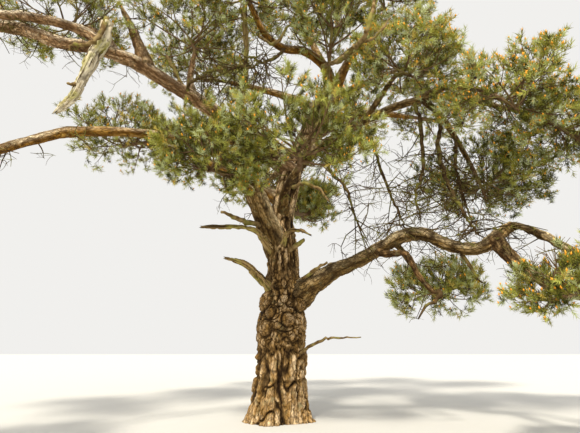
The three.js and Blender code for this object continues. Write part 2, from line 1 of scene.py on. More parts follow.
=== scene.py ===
"""The looks of an old, open-grown Scots pine: bark with relief, dead wood, and a crown of needle shoots.

Metres, in the frame of the solids: +Z up, the origin in the middle of the flat cut under the trunk.
"""

import math

import bpy
import numpy as np
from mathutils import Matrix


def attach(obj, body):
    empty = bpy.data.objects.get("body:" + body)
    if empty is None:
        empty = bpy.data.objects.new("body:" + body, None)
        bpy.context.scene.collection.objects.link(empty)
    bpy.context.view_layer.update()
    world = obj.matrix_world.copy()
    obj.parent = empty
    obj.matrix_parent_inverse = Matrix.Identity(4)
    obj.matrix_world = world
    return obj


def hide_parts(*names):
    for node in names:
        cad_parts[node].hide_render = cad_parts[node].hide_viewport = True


# The trunk of the source: its line, and its radius by height
TRUNK_LINE = [
    (0, 0, 0), (0.04, 0, 0.8), (0.06, 0, 1.6), (0.095, 0, 2.4), (0.105, 0, 3.2), (0.085, 0.02, 3.95),
    (0.062, 0.06, 4.5), (0.13, 0.11, 5.1), (0.35, 0.21, 6.05), (0.72, 0.29, 7.05), (1.12, 0.3, 7.95),
    (1.54, 0.3, 8.8),
]
TRUNK_RADII = [
    (0, 0.61), (0.35, 0.575), (0.9, 0.545), (1.45, 0.54), (1.95, 0.56), (2.25, 0.52), (2.55, 0.455),
    (2.85, 0.4), (3.25, 0.382), (3.75, 0.37), (4.1, 0.335), (4.45, 0.295), (5.1, 0.3), (5.6, 0.3),
    (6.6, 0.275), (7.6, 0.25), (8.8, 0.205),
]
ROOT_FLARE = 0.17
ROOT_FLARE_HEIGHT = 0.43
# Lobes, turn and share of the flare
BUTTRESSES = ((3, 0.4, 0.6), (5, 2.1, 0.4))
# Height, bearing in degrees, width and rise
BURRS = (
    (1.9, 231, 0.16, 0.1), (2.43, 321, 0.16, 0.12), (2.52, 205, 0.23, 0.07), (1.7, 290, 0.26, 0.04),
    (2.22, 239, 0.11, 0.05), (2.08, 286, 0.14, 0.055), (2.15, 85, 0.24, 0.08), (3.05, 140, 0.26, 0.07),
    (1.25, 20, 0.26, 0.055),
)

# The limbs of the source: the kind of bark, and the line, with the radius as each point's fourth number
LIMBS = {
    "left_stem": ("brown", [
        (0.05, 0.02, 3.37, 0.231), (-0.1, -0.12, 3.94, 0.239), (-0.32, -0.3, 4.44, 0.244),
        (-0.53, -0.45, 4.91, 0.244), (-0.73, -0.64, 5.36, 0.236), (-0.97, -0.92, 5.7, 0.205),
        (-1.21, -1.12, 5.79, 0.18)]),
    "mid_left_bough": ("orange", [
        (-1.08, -1.03, 5.74, 0.165), (-1.46, -1.3, 5.82, 0.138), (-1.77, -1.5, 5.87, 0.113),
        (-2.15, -1.75, 5.83, 0.101), (-2.51, -2, 5.8, 0.092), (-2.98, -2.4, 5.65, 0.089),
        (-3.41, -2.75, 5.47, 0.095), (-3.83, -3, 5.31, 0.103), (-4.09, -3.15, 5.15, 0.098),
        (-4.34, -3.5, 4.8, 0.085), (-4.49, -3.7, 4.59, 0.082), (-4.71, -4.15, 4.24, 0.062)]),
    "upper_left_bough": ("pink", [
        (0.32, 0.15, 5.93, 0.213), (-0.47, -0.1, 6.45, 0.211), (-1.3, -0.4, 7.05, 0.196),
        (-2.04, -0.75, 7.48, 0.18), (-2.76, -1.05, 7.8, 0.169), (-3.42, -1.4, 8.1, 0.17),
        (-3.94, -1.8, 8.12, 0.15), (-4.49, -2, 8.14, 0.139), (-4.98, -2.15, 8.1, 0.13),
        (-5.36, -2.3, 8.17, 0.135), (-5.72, -2.45, 8.21, 0.13), (-6.05, -2.6, 8.15, 0.12),
        (-6.76, -3, 7.93, 0.072)]),
    "upper_left_top": ("pink", [
        (-4.04, -1.8, 8.17, 0.135), (-4.49, -2.1, 8.45, 0.116), (-4.97, -2.3, 8.51, 0.105),
        (-5.33, -2.45, 8.49, 0.099), (-5.59, -2.7, 8.34, 0.102), (-5.8, -2.95, 8.11, 0.096),
        (-6.32, -3.5, 7.8, 0.06)]),
    "front_bough": ("brown", [
        (0.1, 0.05, 4.56, 0.13), (0.13, -0.55, 4.98, 0.112), (0.27, -1.15, 5.11, 0.093),
        (0.42, -1.7, 5.13, 0.075)]),
    "front_left_bough": ("orange", [
        (-0.53, -0.45, 4.9, 0.095), (-0.74, -0.85, 5.08, 0.084), (-0.92, -1.2, 5.13, 0.073),
        (-1.08, -1.48, 5.1, 0.062)]),
    "right_low_bough": ("brown", [
        (0.12, 0.02, 2.45, 0.3), (0.5, -0.04, 2.7, 0.275), (0.86, -0.15, 2.96, 0.236),
        (1.26, -0.25, 3.18, 0.188), (1.72, -0.36, 3.35, 0.156), (2.25, -0.5, 3.62, 0.156),
        (2.81, -0.68, 3.91, 0.148), (3.22, -0.85, 3.94, 0.147), (3.58, -1.05, 3.72, 0.139),
        (3.91, -1.25, 3.52, 0.131), (4.24, -1.45, 3.47, 0.138), (4.54, -1.62, 3.66, 0.134),
        (4.75, -1.72, 3.82, 0.098), (4.92, -1.85, 3.82, 0.085), (5.22, -2.1, 3.53, 0.087),
        (5.44, -2.5, 3.14, 0.083), (5.71, -2.9, 2.87, 0.058)]),
    "right_low_drop": ("dusky", [
        (4.5, -1.6, 3.64, 0.14), (4.6, -1.74, 3.32, 0.138), (4.74, -2, 2.96, 0.125),
        (4.78, -2.5, 2.56, 0.082)]),
    "right_low_hook": ("dusky", [
        (2.25, -0.54, 3.6, 0.075), (2.48, -0.76, 3.5, 0.08), (2.65, -0.95, 3.47, 0.073),
        (2.8, -1.05, 3.44, 0.07), (2.9, -1.1, 3.22, 0.065), (3, -1.15, 2.93, 0.061),
        (3.17, -1.2, 2.69, 0.054), (3.36, -1.25, 2.48, 0.033)]),
    "right_arch_bough": ("brown", [
        (0.45, 0.2, 6.15, 0.165), (1.05, 0.1, 6.64, 0.148), (1.58, -0.03, 6.87, 0.13),
        (2.2, -0.43, 7.1, 0.112), (2.9, -0.9, 7.24, 0.098), (3.6, -1.28, 7.25, 0.09)]),
    "right_arch_drop": ("brown", [
        (3.5, -1.24, 7.24, 0.085), (3.9, -1.18, 6.8, 0.078), (4.33, -0.9, 6.32, 0.069),
        (4.7, -0.56, 5.95, 0.06)]),
    "right_rise_bough": ("brown", [
        (3.48, -1.23, 7.25, 0.084), (3.85, -1.5, 7.33, 0.076), (4.15, -1.72, 7.23, 0.068),
        (4.35, -1.83, 7.12, 0.06)]),
    "right_reach_bough": ("brown", [
        (3.38, -1.15, 7.26, 0.088), (4.15, -0.9, 7.52, 0.079), (5.05, -0.95, 7.33, 0.069),
        (5.8, -1.12, 6.98, 0.06)]),
    "right_front_bough": ("brown", [
        (2.2, -0.43, 7.09, 0.085), (2.42, -0.76, 7.36, 0.076), (2.62, -1.06, 7.58, 0.067),
        (2.74, -1.28, 7.69, 0.058)]),
    "top_left_limb": ("orange", [
        (1.5, 0.3, 8.6, 0.155), (1.3, 0.06, 9.17, 0.135), (0.7, -0.44, 9.31, 0.115),
        (0.1, -0.83, 9.09, 0.102), (-0.39, -1.14, 9.3, 0.092), (-0.74, -1.44, 9.9, 0.075)]),
    "top_right_limb": ("orange", [
        (1.56, 0.3, 8.62, 0.16), (1.82, 0.2, 9.15, 0.138), (2.16, 0.09, 9.75, 0.118), (2.5, 0, 10.22, 0.102),
        (2.68, -0.09, 10.85, 0.09), (2.84, -0.18, 11.45, 0.078)]),
    "top_leader": ("orange", [
        (1.52, 0.33, 8.6, 0.15), (1.33, 0.6, 9.6, 0.124), (1.02, 0.8, 10.6, 0.098),
        (0.82, 0.9, 11.5, 0.072)]),
    "left_high_bough": ("pink", [
        (-2.22, -0.84, 7.56, 0.095), (-2.29, -0.94, 8.03, 0.084), (-2.24, -1.06, 8.4, 0.073),
        (-2.18, -1.15, 8.62, 0.062)]),
    "left_far_high_bough": ("pink", [
        (-3.9, -1.74, 8.14, 0.1), (-4.15, -1.56, 8.62, 0.087), (-4.48, -1.55, 8.93, 0.075),
        (-4.75, -1.57, 9.06, 0.062)]),
    "back_left_bough": ("orange", [
        (0.45, 0.24, 6.4, 0.155), (-0.5, 1, 7.15, 0.128), (-1.65, 1.75, 7.7, 0.102),
        (-2.4, 2.23, 7.9, 0.075)]),
    "back_bough": ("brown", [
        (0.32, 0.2, 5.85, 0.16), (0.22, 1.2, 6.45, 0.132), (-0.12, 2.25, 6.85, 0.105),
        (-0.4, 3.05, 7, 0.078)]),
    "back_right_bough": ("brown", [
        (0.65, 0.28, 6.8, 0.15), (1.2, 1.25, 7.7, 0.125), (1.7, 2.2, 8.55, 0.1), (2.05, 2.9, 9.05, 0.075)]),
    "back_far_right_bough": ("orange", [
        (0.85, 0.3, 7.35, 0.145), (2, 0.78, 8, 0.121), (3.25, 1.42, 8.5, 0.096), (4.15, 1.9, 8.7, 0.072)]),
    "high_right_bough": ("orange", [
        (1.25, 0.3, 8.05, 0.13), (2, 0.65, 8.8, 0.109), (2.85, 0.95, 9.4, 0.088), (3.35, 1.03, 9.7, 0.068)]),
    "high_left_bough": ("orange", [
        (1.12, 0.3, 7.85, 0.135), (0.3, 0.78, 8.65, 0.113), (-0.85, 1.18, 9.3, 0.09),
        (-1.6, 1.33, 9.6, 0.068)]),
    "low_left_back_bough": ("orange", [
        (0.15, 0.12, 5.05, 0.15), (-0.95, 0.38, 5.8, 0.124), (-2.4, 0.52, 6.6, 0.098),
        (-3.35, 0.56, 6.95, 0.072)]),
    "low_right_back_bough": ("brown", [
        (2.52, -0.59, 3.77, 0.092), (2.85, -0.18, 3.84, 0.082), (3.2, 0.18, 3.56, 0.07),
        (3.45, 0.38, 3.26, 0.058)]),
    "upright_snag": ("snag", [
        (-3.27, -1.345, 8.08, 0.165), (-3.56, -1.36, 8.76, 0.135), (-3.78, -1.42, 9.27, 0.098),
        (-4.14, -1.5, 9.94, 0.04)]),
    "torn_limb": ("dead", [
        (-4.04, -2.06, 8.74, 0.11), (-4.04, -2.07, 8.24, 0.126), (-4.14, -2.14, 7.8, 0.135),
        (-4.18, -2.21, 7.41, 0.146), (-4.29, -2.2, 7.02, 0.133), (-4.41, -2.17, 6.69, 0.104),
        (-4.6, -2.12, 6.48, 0.084), (-4.79, -2.08, 6.33, 0.043)]),
    "lichened_limb": ("lichened", [
        (-1.18, -0.4, 6.9, 0.104), (-1.03, -0.75, 7.18, 0.092), (-0.91, -1.05, 7.63, 0.076),
        (-0.83, -1.3, 8.27, 0.066), (-0.86, -1.45, 9.12, 0.064), (-0.96, -1.5, 9.75, 0.048)]),
    "long_left_stub": ("stub", [
        (-0.12, -0.12, 3.64, 0.1), (-0.33, -0.43, 3.9, 0.092), (-0.52, -0.72, 4.05, 0.068),
        (-0.9, -0.93, 4.08, 0.055), (-1.7, -1.18, 4.01, 0.048)]),
    "low_left_stub": ("stub", [
        (-0.15, -0.12, 2.74, 0.095), (-0.5, -0.58, 3.08, 0.084), (-0.76, -0.8, 3.27, 0.068),
        (-1.1, -1, 3.34, 0.048)]),
    "front_stub": ("stub", [
        (0.06, -0.13, 3.7, 0.075), (0.2, -0.69, 3.99, 0.062), (0.45, -0.86, 4.03, 0.048),
        (0.69, -1, 3.9, 0.032)]),
}

# Bare limbs that are too thin for the source: their lines, in the same form
BARE_LIMBS = {
    "drooping_right": [
        (0.48, 0, 6.21, 0.055), (0.98, -0.45, 6.21, 0.05), (1.28, -0.8, 5.44, 0.042), (1.55, -1, 5.05, 0.035),
        (1.67, -1.05, 4.52, 0.028), (1.78, -1, 4.18, 0.022), (2, -0.9, 3.78, 0.01)],
    "arch_hang_near": [
        (2.23, -0.43, 7.12, 0.05), (2.37, -0.55, 6.44, 0.042), (2.5, -0.7, 5.54, 0.036),
        (2.69, -0.72, 4.88, 0.03), (2.85, -0.75, 4.35, 0.022), (2.92, -0.75, 4.11, 0.012)],
    "arch_hang_mid": [
        (3.32, -1.14, 7.26, 0.052), (3.39, -1.2, 6.46, 0.046), (3.3, -1.2, 5.31, 0.038),
        (3.1, -1.2, 4.75, 0.03), (3.16, -1.15, 4.22, 0.014)],
    "drop_hang": [
        (3.94, -1.16, 6.76, 0.055), (3.69, -1.3, 5.82, 0.048), (3.81, -1.35, 4.91, 0.042),
        (4.03, -1.4, 4.26, 0.034), (4.26, -1.45, 3.75, 0.018)],
    "drop_hang_far": [
        (4.33, -0.9, 6.32, 0.05), (4.12, -1.1, 5.54, 0.04), (4.19, -1.1, 4.84, 0.03),
        (4.3, -1.15, 4.13, 0.015)],
    "low_hook": [
        (3.93, -1.25, 3.38, 0.05), (3.99, -1.35, 3.19, 0.036), (4.06, -1.4, 2.95, 0.03),
        (4.19, -1.45, 2.74, 0.012)],
    "hook_end": [
        (3.18, -1.62, 2.57, 0.05), (3.23, -1.66, 2.45, 0.044), (3.08, -1.66, 2.34, 0.036),
        (2.91, -1.66, 2.24, 0.03), (2.74, -1.66, 2.01, 0.012)],
    "stub_right": [(0.17, -0.2, 3.62, 0.075), (0.41, -0.55, 3.73, 0.062), (0.59, -0.8, 3.81, 0.04)],
    "stub_low_right": [(0.5, -0.1, 2.98, 0.058), (0.82, -0.5, 3.16, 0.046), (1.1, -0.8, 3.3, 0.022)],
    "stub_mid_right": [
        (0.2, 0.05, 5.4, 0.055), (0.59, -0.4, 5.35, 0.045), (0.95, -0.6, 5.16, 0.038),
        (1.19, -0.75, 4.77, 0.022)],
    "stub_left_up": [
        (-0.4, -0.35, 4.3, 0.07), (-0.75, -0.75, 4.25, 0.058), (-1, -0.95, 4.33, 0.048),
        (-1.28, -1.1, 4.38, 0.03)],
    "low_twig": [
        (0.45, -0.2, 1.37, 0.04), (0.86, -0.8, 1.6, 0.03), (1.18, -1, 1.68, 0.023), (1.7, -1.2, 1.69, 0.01)],
    "stub_top_left": [(-2.44, -0.92, 7.8, 0.058), (-2.74, -1.1, 8.31, 0.048), (-2.9, -1.15, 8.6, 0.032)],
    "torn_strip": [
        (-4.04, -2.1, 8.85, 0.058), (-4.01, -2.26, 8.32, 0.056), (-4.09, -2.34, 7.96, 0.05),
        (-4.3, -2.36, 7.84, 0.044), (-4.57, -2.3, 7.93, 0.034), (-4.66, -2.3, 7.75, 0.014)],
    "twisted_left": [
        (-2.33, -0.95, 7.58, 0.05), (-2.21, -1.2, 7.72, 0.045), (-1.93, -1.35, 7.75, 0.04),
        (-1.64, -1.4, 7.95, 0.036), (-1.28, -1.45, 7.82, 0.034), (-0.99, -1.5, 7.99, 0.03),
        (-0.65, -1.55, 7.89, 0.024), (-0.39, -1.5, 8.22, 0.012)],
    "twisted_middle": [
        (-0.59, -1.12, 9.3, 0.045), (-0.24, -1.25, 8.86, 0.04), (0.04, -1.35, 8.99, 0.034),
        (0.22, -1.4, 9.29, 0.028), (0.5, -1.4, 9.42, 0.018), (0.68, -1.4, 9.74, 0.01)],
    "twisted_right": [
        (1.18, -0.1, 9.11, 0.064), (1.44, -1.3, 8.27, 0.06), (1.64, -2.2, 7.83, 0.056),
        (1.81, -2.85, 7.6, 0.05), (1.91, -3.05, 7.88, 0.043), (2.04, -3, 8.37, 0.036),
        (2.14, -2.95, 8.78, 0.018)],
    "twisted_fork": [
        (1.78, -2.75, 7.62, 0.034), (1.99, -3.05, 7.45, 0.028), (2.19, -3.1, 7.7, 0.022),
        (2.33, -3.1, 7.9, 0.01)],
    "twisted_low": [
        (0.14, -0.8, 9.13, 0.05), (-0.09, -1.2, 8.5, 0.042), (-0.42, -1.4, 8.19, 0.036),
        (-0.72, -1.45, 8.29, 0.03), (-0.87, -1.5, 7.96, 0.022), (-1.09, -1.5, 8.07, 0.011)],
    "torn_spur": [(-4.28, -2.2, 6.98, 0.05), (-4.4, -2.3, 6.86, 0.042), (-4.5, -2.35, 6.87, 0.022)],
}
DARK_STUBS = ("low_hook", "hook_end")
# Those that carry bare twigs, and how many
TWIGGY = (
    "drooping_right", "arch_hang_near", "arch_hang_mid", "drop_hang", "drop_hang_far", "twisted_left",
    "twisted_low",
)
HANGING_TWIGS = 18
SIDE_TWIGS_PER_METRE = 2.2
# For each order of bare twigs: radius, length and how many of the next order each carries
HANGING_ORDERS = ((0.018, 0.9, 4), (0.01, 0.46, 3), (0.006, 0.24, 0))
SIDE_ORDERS = ((0.015, 0.6, 3), (0.008, 0.32, 2), (0.005, 0.2, 0))

# The masses of foliage of the source: the bough that carries each, or the point in the trunk where its stem
# starts, the middle and the half sizes of its space, and the share of its shoots that bear pollen cones
MASSES = {
    "front": ("front_bough", (0.42, -2.85, 5.38), (1.65, 1.35, 1.1), 0.2),
    "front_left": ("front_left_bough", (-1.35, -2.3, 5.25), (1.3, 1.15, 1.1), 0.2),
    "right_front": ("right_front_bough", (3, -1.98, 7.7), (1.6, 1.3, 0.98), 0.42),
    "right_rise": ("right_rise_bough", (5.05, -2.35, 6.55), (1.6, 1.4, 1.05), 0.5),
    "right_reach": ("right_reach_bough", (6.95, -1.4, 6.35), (1.7, 1.5, 1.05), 0.42),
    "right_middle": ("right_arch_drop", (5.35, 0.12, 5.55), (1.9, 1.6, 1.1), 0.12),
    "near_right": ("right_low_drop", (4.7, -3.6, 2.45), (1.2, 1.05, 0.68), 0.35),
    "outer_right": ("right_low_bough", (6.85, -3.15, 3.05), (1.45, 1.3, 0.85), 0.3),
    "low_back_right": ("low_right_back_bough", (4.1, 0.85, 2.95), (1.4, 1.25, 0.78), 0.1),
    "left_high": ("left_high_bough", (-2.25, -1.35, 9.25), (1.85, 1.55, 1.1), 0.2),
    "left_far_high": ("left_far_high_bough", (-5.35, -1.65, 9.35), (1.8, 1.6, 1.05), 0.2),
    "left_low": ("mid_left_bough", (-5.75, -4.75, 4.45), (1.45, 1.35, 0.85), 0.2),
    "left_outer": ("upper_left_bough", (-7.9, -2.9, 8.15), (1.6, 1.45, 0.95), 0.2),
    "left_outer_front": ("upper_left_top", (-6.65, -4.6, 8.15), (1.45, 1.35, 0.9), 0.2),
    "back_left": ("back_left_bough", (-3.35, 2.95, 8.25), (1.95, 1.7, 1.1), 0.15),
    "back": ("back_bough", (-0.7, 4.15, 7.3), (1.95, 1.75, 1.1), 0.15),
    "back_right": ("back_right_bough", (2.4, 3.9, 9.9), (1.9, 1.7, 1.1), 0.15),
    "back_far_right": ("back_far_right_bough", (5.6, 2.35, 9.2), (1.85, 1.65, 1.08), 0.25),
    "high_right": ("high_right_bough", (4.25, 1.05, 10.5), (1.8, 1.6, 1.05), 0.3),
    "high_left": ("high_left_bough", (-2.65, 1.5, 10.25), (1.95, 1.7, 1.15), 0.2),
    "low_left_back": ("low_left_back_bough", (-4.55, 0.62, 7.25), (1.8, 1.6, 1), 0.12),
    "crown_top": ("top_leader", (0.6, 1, 12.45), (1.95, 1.75, 1.15), 0.25),
    "top_right": ("top_right_limb", (3.15, -0.3, 11.85), (1.75, 1.55, 1.1), 0.25),
    "top_front": ("top_left_limb", (-0.9, -1.95, 10.2), (1.75, 1.55, 1.15), 0.2),
    "top_middle": ((1.3, 0.2, 8.35), (1.35, -1.45, 9.7), (1.6, 1.4, 1), 0.25),
    "behind_trunk": ((0.2, 0.11, 4.85), (0.97, 2.35, 5.85), (0.85, 0.9, 0.9), 0.1),
}
# The mass that lies in shade, its needles painted throughout in the deeper tints of the shaded shares
SHADED = ("right_middle",)
# The masses next to the camera, whose shoots and needles are more and smaller
NEAR = ("front", "front_left", "near_right")
NEAR_SIZE = 0.74
# The masses that grow one more bearing of the rule, because they show closed
DENSE = ("right_middle", "right_reach", "behind_trunk")
# Where no shoot grows, so that the falling branch and the outer bough show: each space's middle and radius
OPENINGS = ((3.7, -3.6, 2.75, 0.62), (4.3, -3.5, 3.2, 0.62), (4.9, -3.3, 3.3, 0.4))

# The source's rule for main twigs
TWIGS = 6
TURN = 2.399963
LOWEST_TWIG = -0.5
HIGHEST_TWIG = 0.88
STEM_NODES = (0.5, 0.72, 0.94)
BEARINGS = 4
BEARING_STEP = 0.55
BEARING_SPREAD = 0.4
DRAWS_PASSED = 8
LIFT = 0.25
TRUNK_STEM = 0.07
STEM_DROP = 0.35
STEM_BEND = 0.45
STEM_SAG = (0, 0, 0.2)
STEM_TAPER = 0.96

# How it goes on from there: those of the rule's bearings that are grown, and the shape of the main twigs
BEARINGS_GROWN = (0, 2)
DENSE_BEARINGS = (0, 1, 2)
MAIN_REACH = 0.76
MAIN_SAG = (0, 0, -0.2)
MAIN_BEND = 0.15
MAIN_TIP = 0.009
# Second and third twigs: how many each twig carries, their length as a share of the mass's size, how far they
# leave sideways and upward, the share of the twig that stays bare, their droop, how far out they may end,
# their least and greatest radius at the root, their radius at the tip, and their steps
TWIG_ORDERS = (
    (7, 0.62, 0.9, 0.02, 0.28, 0.12, 1.04, 0.006, 0.02, 0.005, 3),
    (5, 0.33, 0.85, 0.12, 0.2, 0.05, 1.08, 0.0055, 0.0055, 0.0035, 1),
)

# Shoots: how many a twig carries, their growth (length, sideways, upward, share that stays bare), their form
SHOOTS = 3
NEAR_SHOOTS = 5
SHOOT_GROWTH = (0.1, 0.7, 0.5, 0.35)
SHOOT_RISE = (0, 0, 0.15)
LOWEST_SHOOT = 0.95
SHOOT_LENGTH = 0.09
SHOOT_SPREAD = 0.05
SHOOT_RADIUS = 0.0045

# Needles
NEEDLES = 18
NEAR_NEEDLES = 24
NEEDLE_LENGTH = 0.125
NEEDLE_WIDTH = 0.0145
NEEDLE_ROUGHNESS = 0.42
# How far needles lean out at a shoot's root, how much less at its end, and how much that varies, in degrees
NEEDLE_LEAN = (64, 40, 14)
PAIR_ANGLE = 0.5
# The needles' tints; the deep one is mostly painted shade, dealt out inside the masses and in the shaded one
TINTS = {
    "olive": (0.265, 0.258, 0.034),
    "moss": (0.44, 0.455, 0.1),
    "grey_green": (0.54, 0.59, 0.3),
    "deep": (0.07, 0.074, 0.01),
    "straw": (0.62, 0.49, 0.11),
}
# The tints' shares, in the order above: at a mass's outside lighter tints as painted light (NEAR_SHARES in
# the near masses), inside more of the deep tint as painted shade, and painted shade all through the shaded
# mass
SUNNY_SHARES = (0.26, 0.33, 0.25, 0.05, 0.11)
INNER_SHARES = (0.32, 0.15, 0.12, 0.39, 0.02)
SHADED_SHARES = (0.32, 0.12, 0.12, 0.42, 0.02)
NEAR_SHARES = (0.31, 0.25, 0.17, 0.2, 0.07)
# Pollen cones: length, width, how much each varies, and sides; then old cones without what varies
POLLEN_CONE = (0.062, 0.017, 0.03, 0.008, 5)
POLLEN_SIZE = 0.9
NEAR_POLLEN_SHARE = 0.75
OLD_CONE_SHARE = 0.005
OLD_CONE = (0.09, 0.034, 6)

# The trunk's rings, closest together low down, where the bark is coarse: shares of its line, and how many
TRUNK_SIDES = 216
TRUNK_SHARES = ((0, 0.3, 229), (0.3, 0.5, 89), (0.5, 1, 59))
# The level creases round the trunk: height, waves, phase and width
CREASES = ((1.42, 3, 0, 0.05), (0.83, 2, 1, 0.045))
CREASE_DEPTH = 0.035
CREASE_WAVE = 0.05
# The heights where the trunk's low bark ends and its high bark starts, and over how much they change
LOW_ZONE = (1.75, 0.5)
HIGH_ZONE = (2.7, 0.7)
# The trunk's bark low down, in the middle and high up: how deep it is, and, for its long and its small
# cracks, the width and height of the bark between them, their own width and a seed
BARK_DEPTHS = (0.062, 0.048, 0.032)
LONG_CRACKS = (
    ((0.14, 0.75, 0.3, 5), (0.15, 0.5, 0.26, 6)),
    ((0.17, 0.22, 0.26, 15),),
    ((0.085, 0.5, 0.42, 25), (0.08, 0.36, 0.34, 26)),
)
SMALL_CRACKS = ((0.05, 0.22, 0.45, 35), (0.06, 0.08, 0.5, 45), (0.045, 0.2, 0.45, 55))
SHINGLE = (0.15, 0.15, 0.2)
FLAKE = (0.1, 0.1, 0.24)
# The whorls on a burr: how far they stand out, their step, and the rise above which a burr has them
WHORL_HEIGHT = 0.014
WHORL_STEP = 0.34
WHORLED_RISE = 0.04

# The limbs: the steps along and round them, the collar at their root, their lumps, the patches of the painted
# highlight on their side that faces up, and their bark
STOUT_RADIUS = 0.2
FINE_RING, COARSE_RING = 0.03, 0.05
FINE_SIDE, COARSE_SIDE = 0.018, 0.032
COLLAR = 0.24
LUMPS = 0.34
LUMP = np.array([1.3, 1.3, 1.9])
PATCH = (0.3, 0.3, 0.7)
LIMB_CRACKS = ((0.13, 0.55, 0.5), (0.07, 0.34, 0.42))
LIMB_FLAKE = np.array([0.07, 0.07, 0.15])
ROUGH_BARK, SMOOTH_BARK = 0.028, 0.012
# Bare wood: its grain, how deep that is, the ribs that it is torn into, and its splinters
GRAIN = (0.04, 0.04, 0.7)
GRAIN_DEPTH = 0.028
RIBS, TORN_RIBS = 0.088, 0.22
RIB_TWIST = 1.5
SPLINTERS = 6
SPLINTER_REACH = 0.22
# The sides and the steps of thin bare limbs, and how many samples measure a limb
BARE_SIDES = 7
BARE_RING = 0.09
SAMPLES = 60

# Kinds of bark: the colours of the cracks, painted shade, then of the plates and their paler patches, and a
# fourth: the trunk's own paler bark high up, and on a limb a painted highlight on the side that faces up;
# then the width and height of the scales, and the least light in the cracks
BARKS = {
    "trunk": (
        (0.014, 0.006, 0.001), (0.32, 0.175, 0.045), (0.88, 0.65, 0.39), (0.8, 0.6, 0.36),
        (0.075, 0.26), 0),
    "brown": (
        (0.026, 0.012, 0.003), (0.27, 0.16, 0.045), (0.6, 0.42, 0.2), (0.84, 0.68, 0.42),
        (0.055, 0.19), 0.1),
    "dusky": (
        (0.016, 0.006, 0.001), (0.17, 0.085, 0.028), (0.36, 0.215, 0.09), (0.42, 0.29, 0.13),
        (0.055, 0.19), 0.1),
    # The pink limbs' own pinkish bark, its colours made paler as painted light against the crown's shade on
    # them
    "pink": (
        (0.06, 0.025, 0.007), (0.5, 0.295, 0.135), (0.9, 0.68, 0.43), (1, 0.9, 0.68),
        (0.055, 0.17), 0.2),
    "snag": (
        (0.06, 0.028, 0.008), (0.36, 0.2, 0.08), (0.6, 0.4, 0.2), (0.7, 0.53, 0.31),
        (0.06, 0.13), 0.2),
    "orange": (
        (0.06, 0.024, 0.003), (0.37, 0.175, 0.022), (0.52, 0.31, 0.075), (1, 0.86, 0.6),
        (0.06, 0.2), 0.2),
}
# Kinds of dead wood: the colours of the cracks, which are painted shade, the wood and its bleached streaks,
# and the lichen's share
DEAD_WOODS = {
    "dead": ((0.055, 0.034, 0.016), (0.42, 0.33, 0.19), (0.78, 0.7, 0.53), 0.6),
    "stub": ((0.026, 0.013, 0.004), (0.15, 0.088, 0.028), (0.38, 0.265, 0.115), 0.5),
    "lichened": ((0.012, 0.007, 0.002), (0.11, 0.07, 0.022), (0.27, 0.2, 0.075), 0.8),
}
# Kinds of twig: the colours of the bark and its paler patches, and the lichen's share
TWIG_BARKS = {
    "bare_twigs": ((0.04, 0.022, 0.008), (0.12, 0.078, 0.032), 0.6),
    "bare_stubs": ((0.13, 0.078, 0.027), (0.33, 0.235, 0.105), 0.6),
    "twigs": ((0.11, 0.062, 0.028), (0.2, 0.13, 0.07), 0.5),
}
BARK_LICHEN = (0.3, 0.31, 0.17)
BARK_LICHEN_SHARE = 0.3
DEAD_LICHEN = (0.36, 0.34, 0.07)
TWIG_LICHEN = (0.26, 0.26, 0.05)
BARK_ROUGHNESS, DEAD_ROUGHNESS, TWIG_ROUGHNESS = 0.88, 0.85, 0.9
BARK_BUMP, DEAD_BUMP = 0.022, 0.02
SHINE = 0.13
# Plain colours and their roughness
CONES = {"pollen_cones": ((0.88, 0.38, 0.04), 0.7), "old_cones": ((0.055, 0.04, 0.03), 0.85)}
FLOOR = ((0.62, 0.61, 0.585), 0.95)
FLOOR_HALF = 80

# The suns: strength, the angle each spreads over, its height and bearing, and its colour
SUNS = {
    "key": (3.9, 8, 52, -22, (1, 0.94, 0.8)),
    "fill": (0.6, 60, 20, 35, (1, 0.97, 0.92)),
}
SKY = (1, 0.99, 0.965, 1)
SKY_STRENGTH = 0.88

# The view: a wide lens at eye height, tilted up, in front of the trunk
PHOTO_WIDTH = 580
PHOTO_FOCAL_PIXELS = 400
CAMERA_PLACE = (0.27, -9.6, 1.5)
CAMERA_TILT = 18.07
CAMERA_FAR = 500
SENSOR = 36

# Every random draw of the scene's own starts from here
SEED = 20260


# Lines and noise


def unit(v):
    return v / np.maximum(np.linalg.norm(v, axis=-1, keepdims=True), 1e-9)


def seeded(seed):
    """The source's generator: the same draws in the same order."""
    state = seed
    while True:
        state = (state * 48271) % 2147483647
        yield state / 2147483647


def spline(line, shares):
    """Points of the source's curve through a line, at these shares of it."""
    p = np.asarray(line, float)[:, :3]
    p = np.vstack([2 * p[0] - p[1], p, 2 * p[-1] - p[-2]])
    at = np.clip(np.asarray(shares, float), 0, 1) * (len(p) - 3)
    k = np.minimum(at.astype(int), len(p) - 4)
    t = (at - k)[:, None]
    before, start, end, after = p[k], p[k + 1], p[k + 2], p[k + 3]
    m0 = 0.5 * (end - before)
    m1 = 0.5 * (after - start)
    c2 = -3 * start + 3 * end - 2 * m0 - m1
    c3 = 2 * start - 2 * end + m0 + m1
    return start + m0 * t + c2 * t**2 + c3 * t**3


def length_of(line):
    steps = np.diff(spline(line, np.linspace(0, 1, 2 * SAMPLES)), axis=0)
    return float(np.linalg.norm(steps, axis=1).sum())


def radius_along(line, shares):
    radii = [point[3] for point in line]
    return np.interp(np.asarray(shares) * (len(line) - 1), np.arange(len(line)), radii)


def bent(start, bend, end, t):
    """Points at share t of bent twigs."""
    return (1 - t) ** 2 * start + 2 * t * (1 - t) * bend + t**2 * end


def hashed(cells, seed):
    """A number from 0 to 1 for each row of whole numbers."""
    c = cells.astype(np.int64)
    h = c[..., 0] * 374761393 + c[..., 1] * 668265263 + c[..., 2] * 2147483647 + seed * 974711
    h = (h ^ (h >> 13)) * 1274126177
    return ((h ^ (h >> 16)) & 0xFFFFFF) / 0xFFFFFF


def eased(share):
    share = np.clip(share, 0, 1)
    return share * share * (3 - 2 * share)


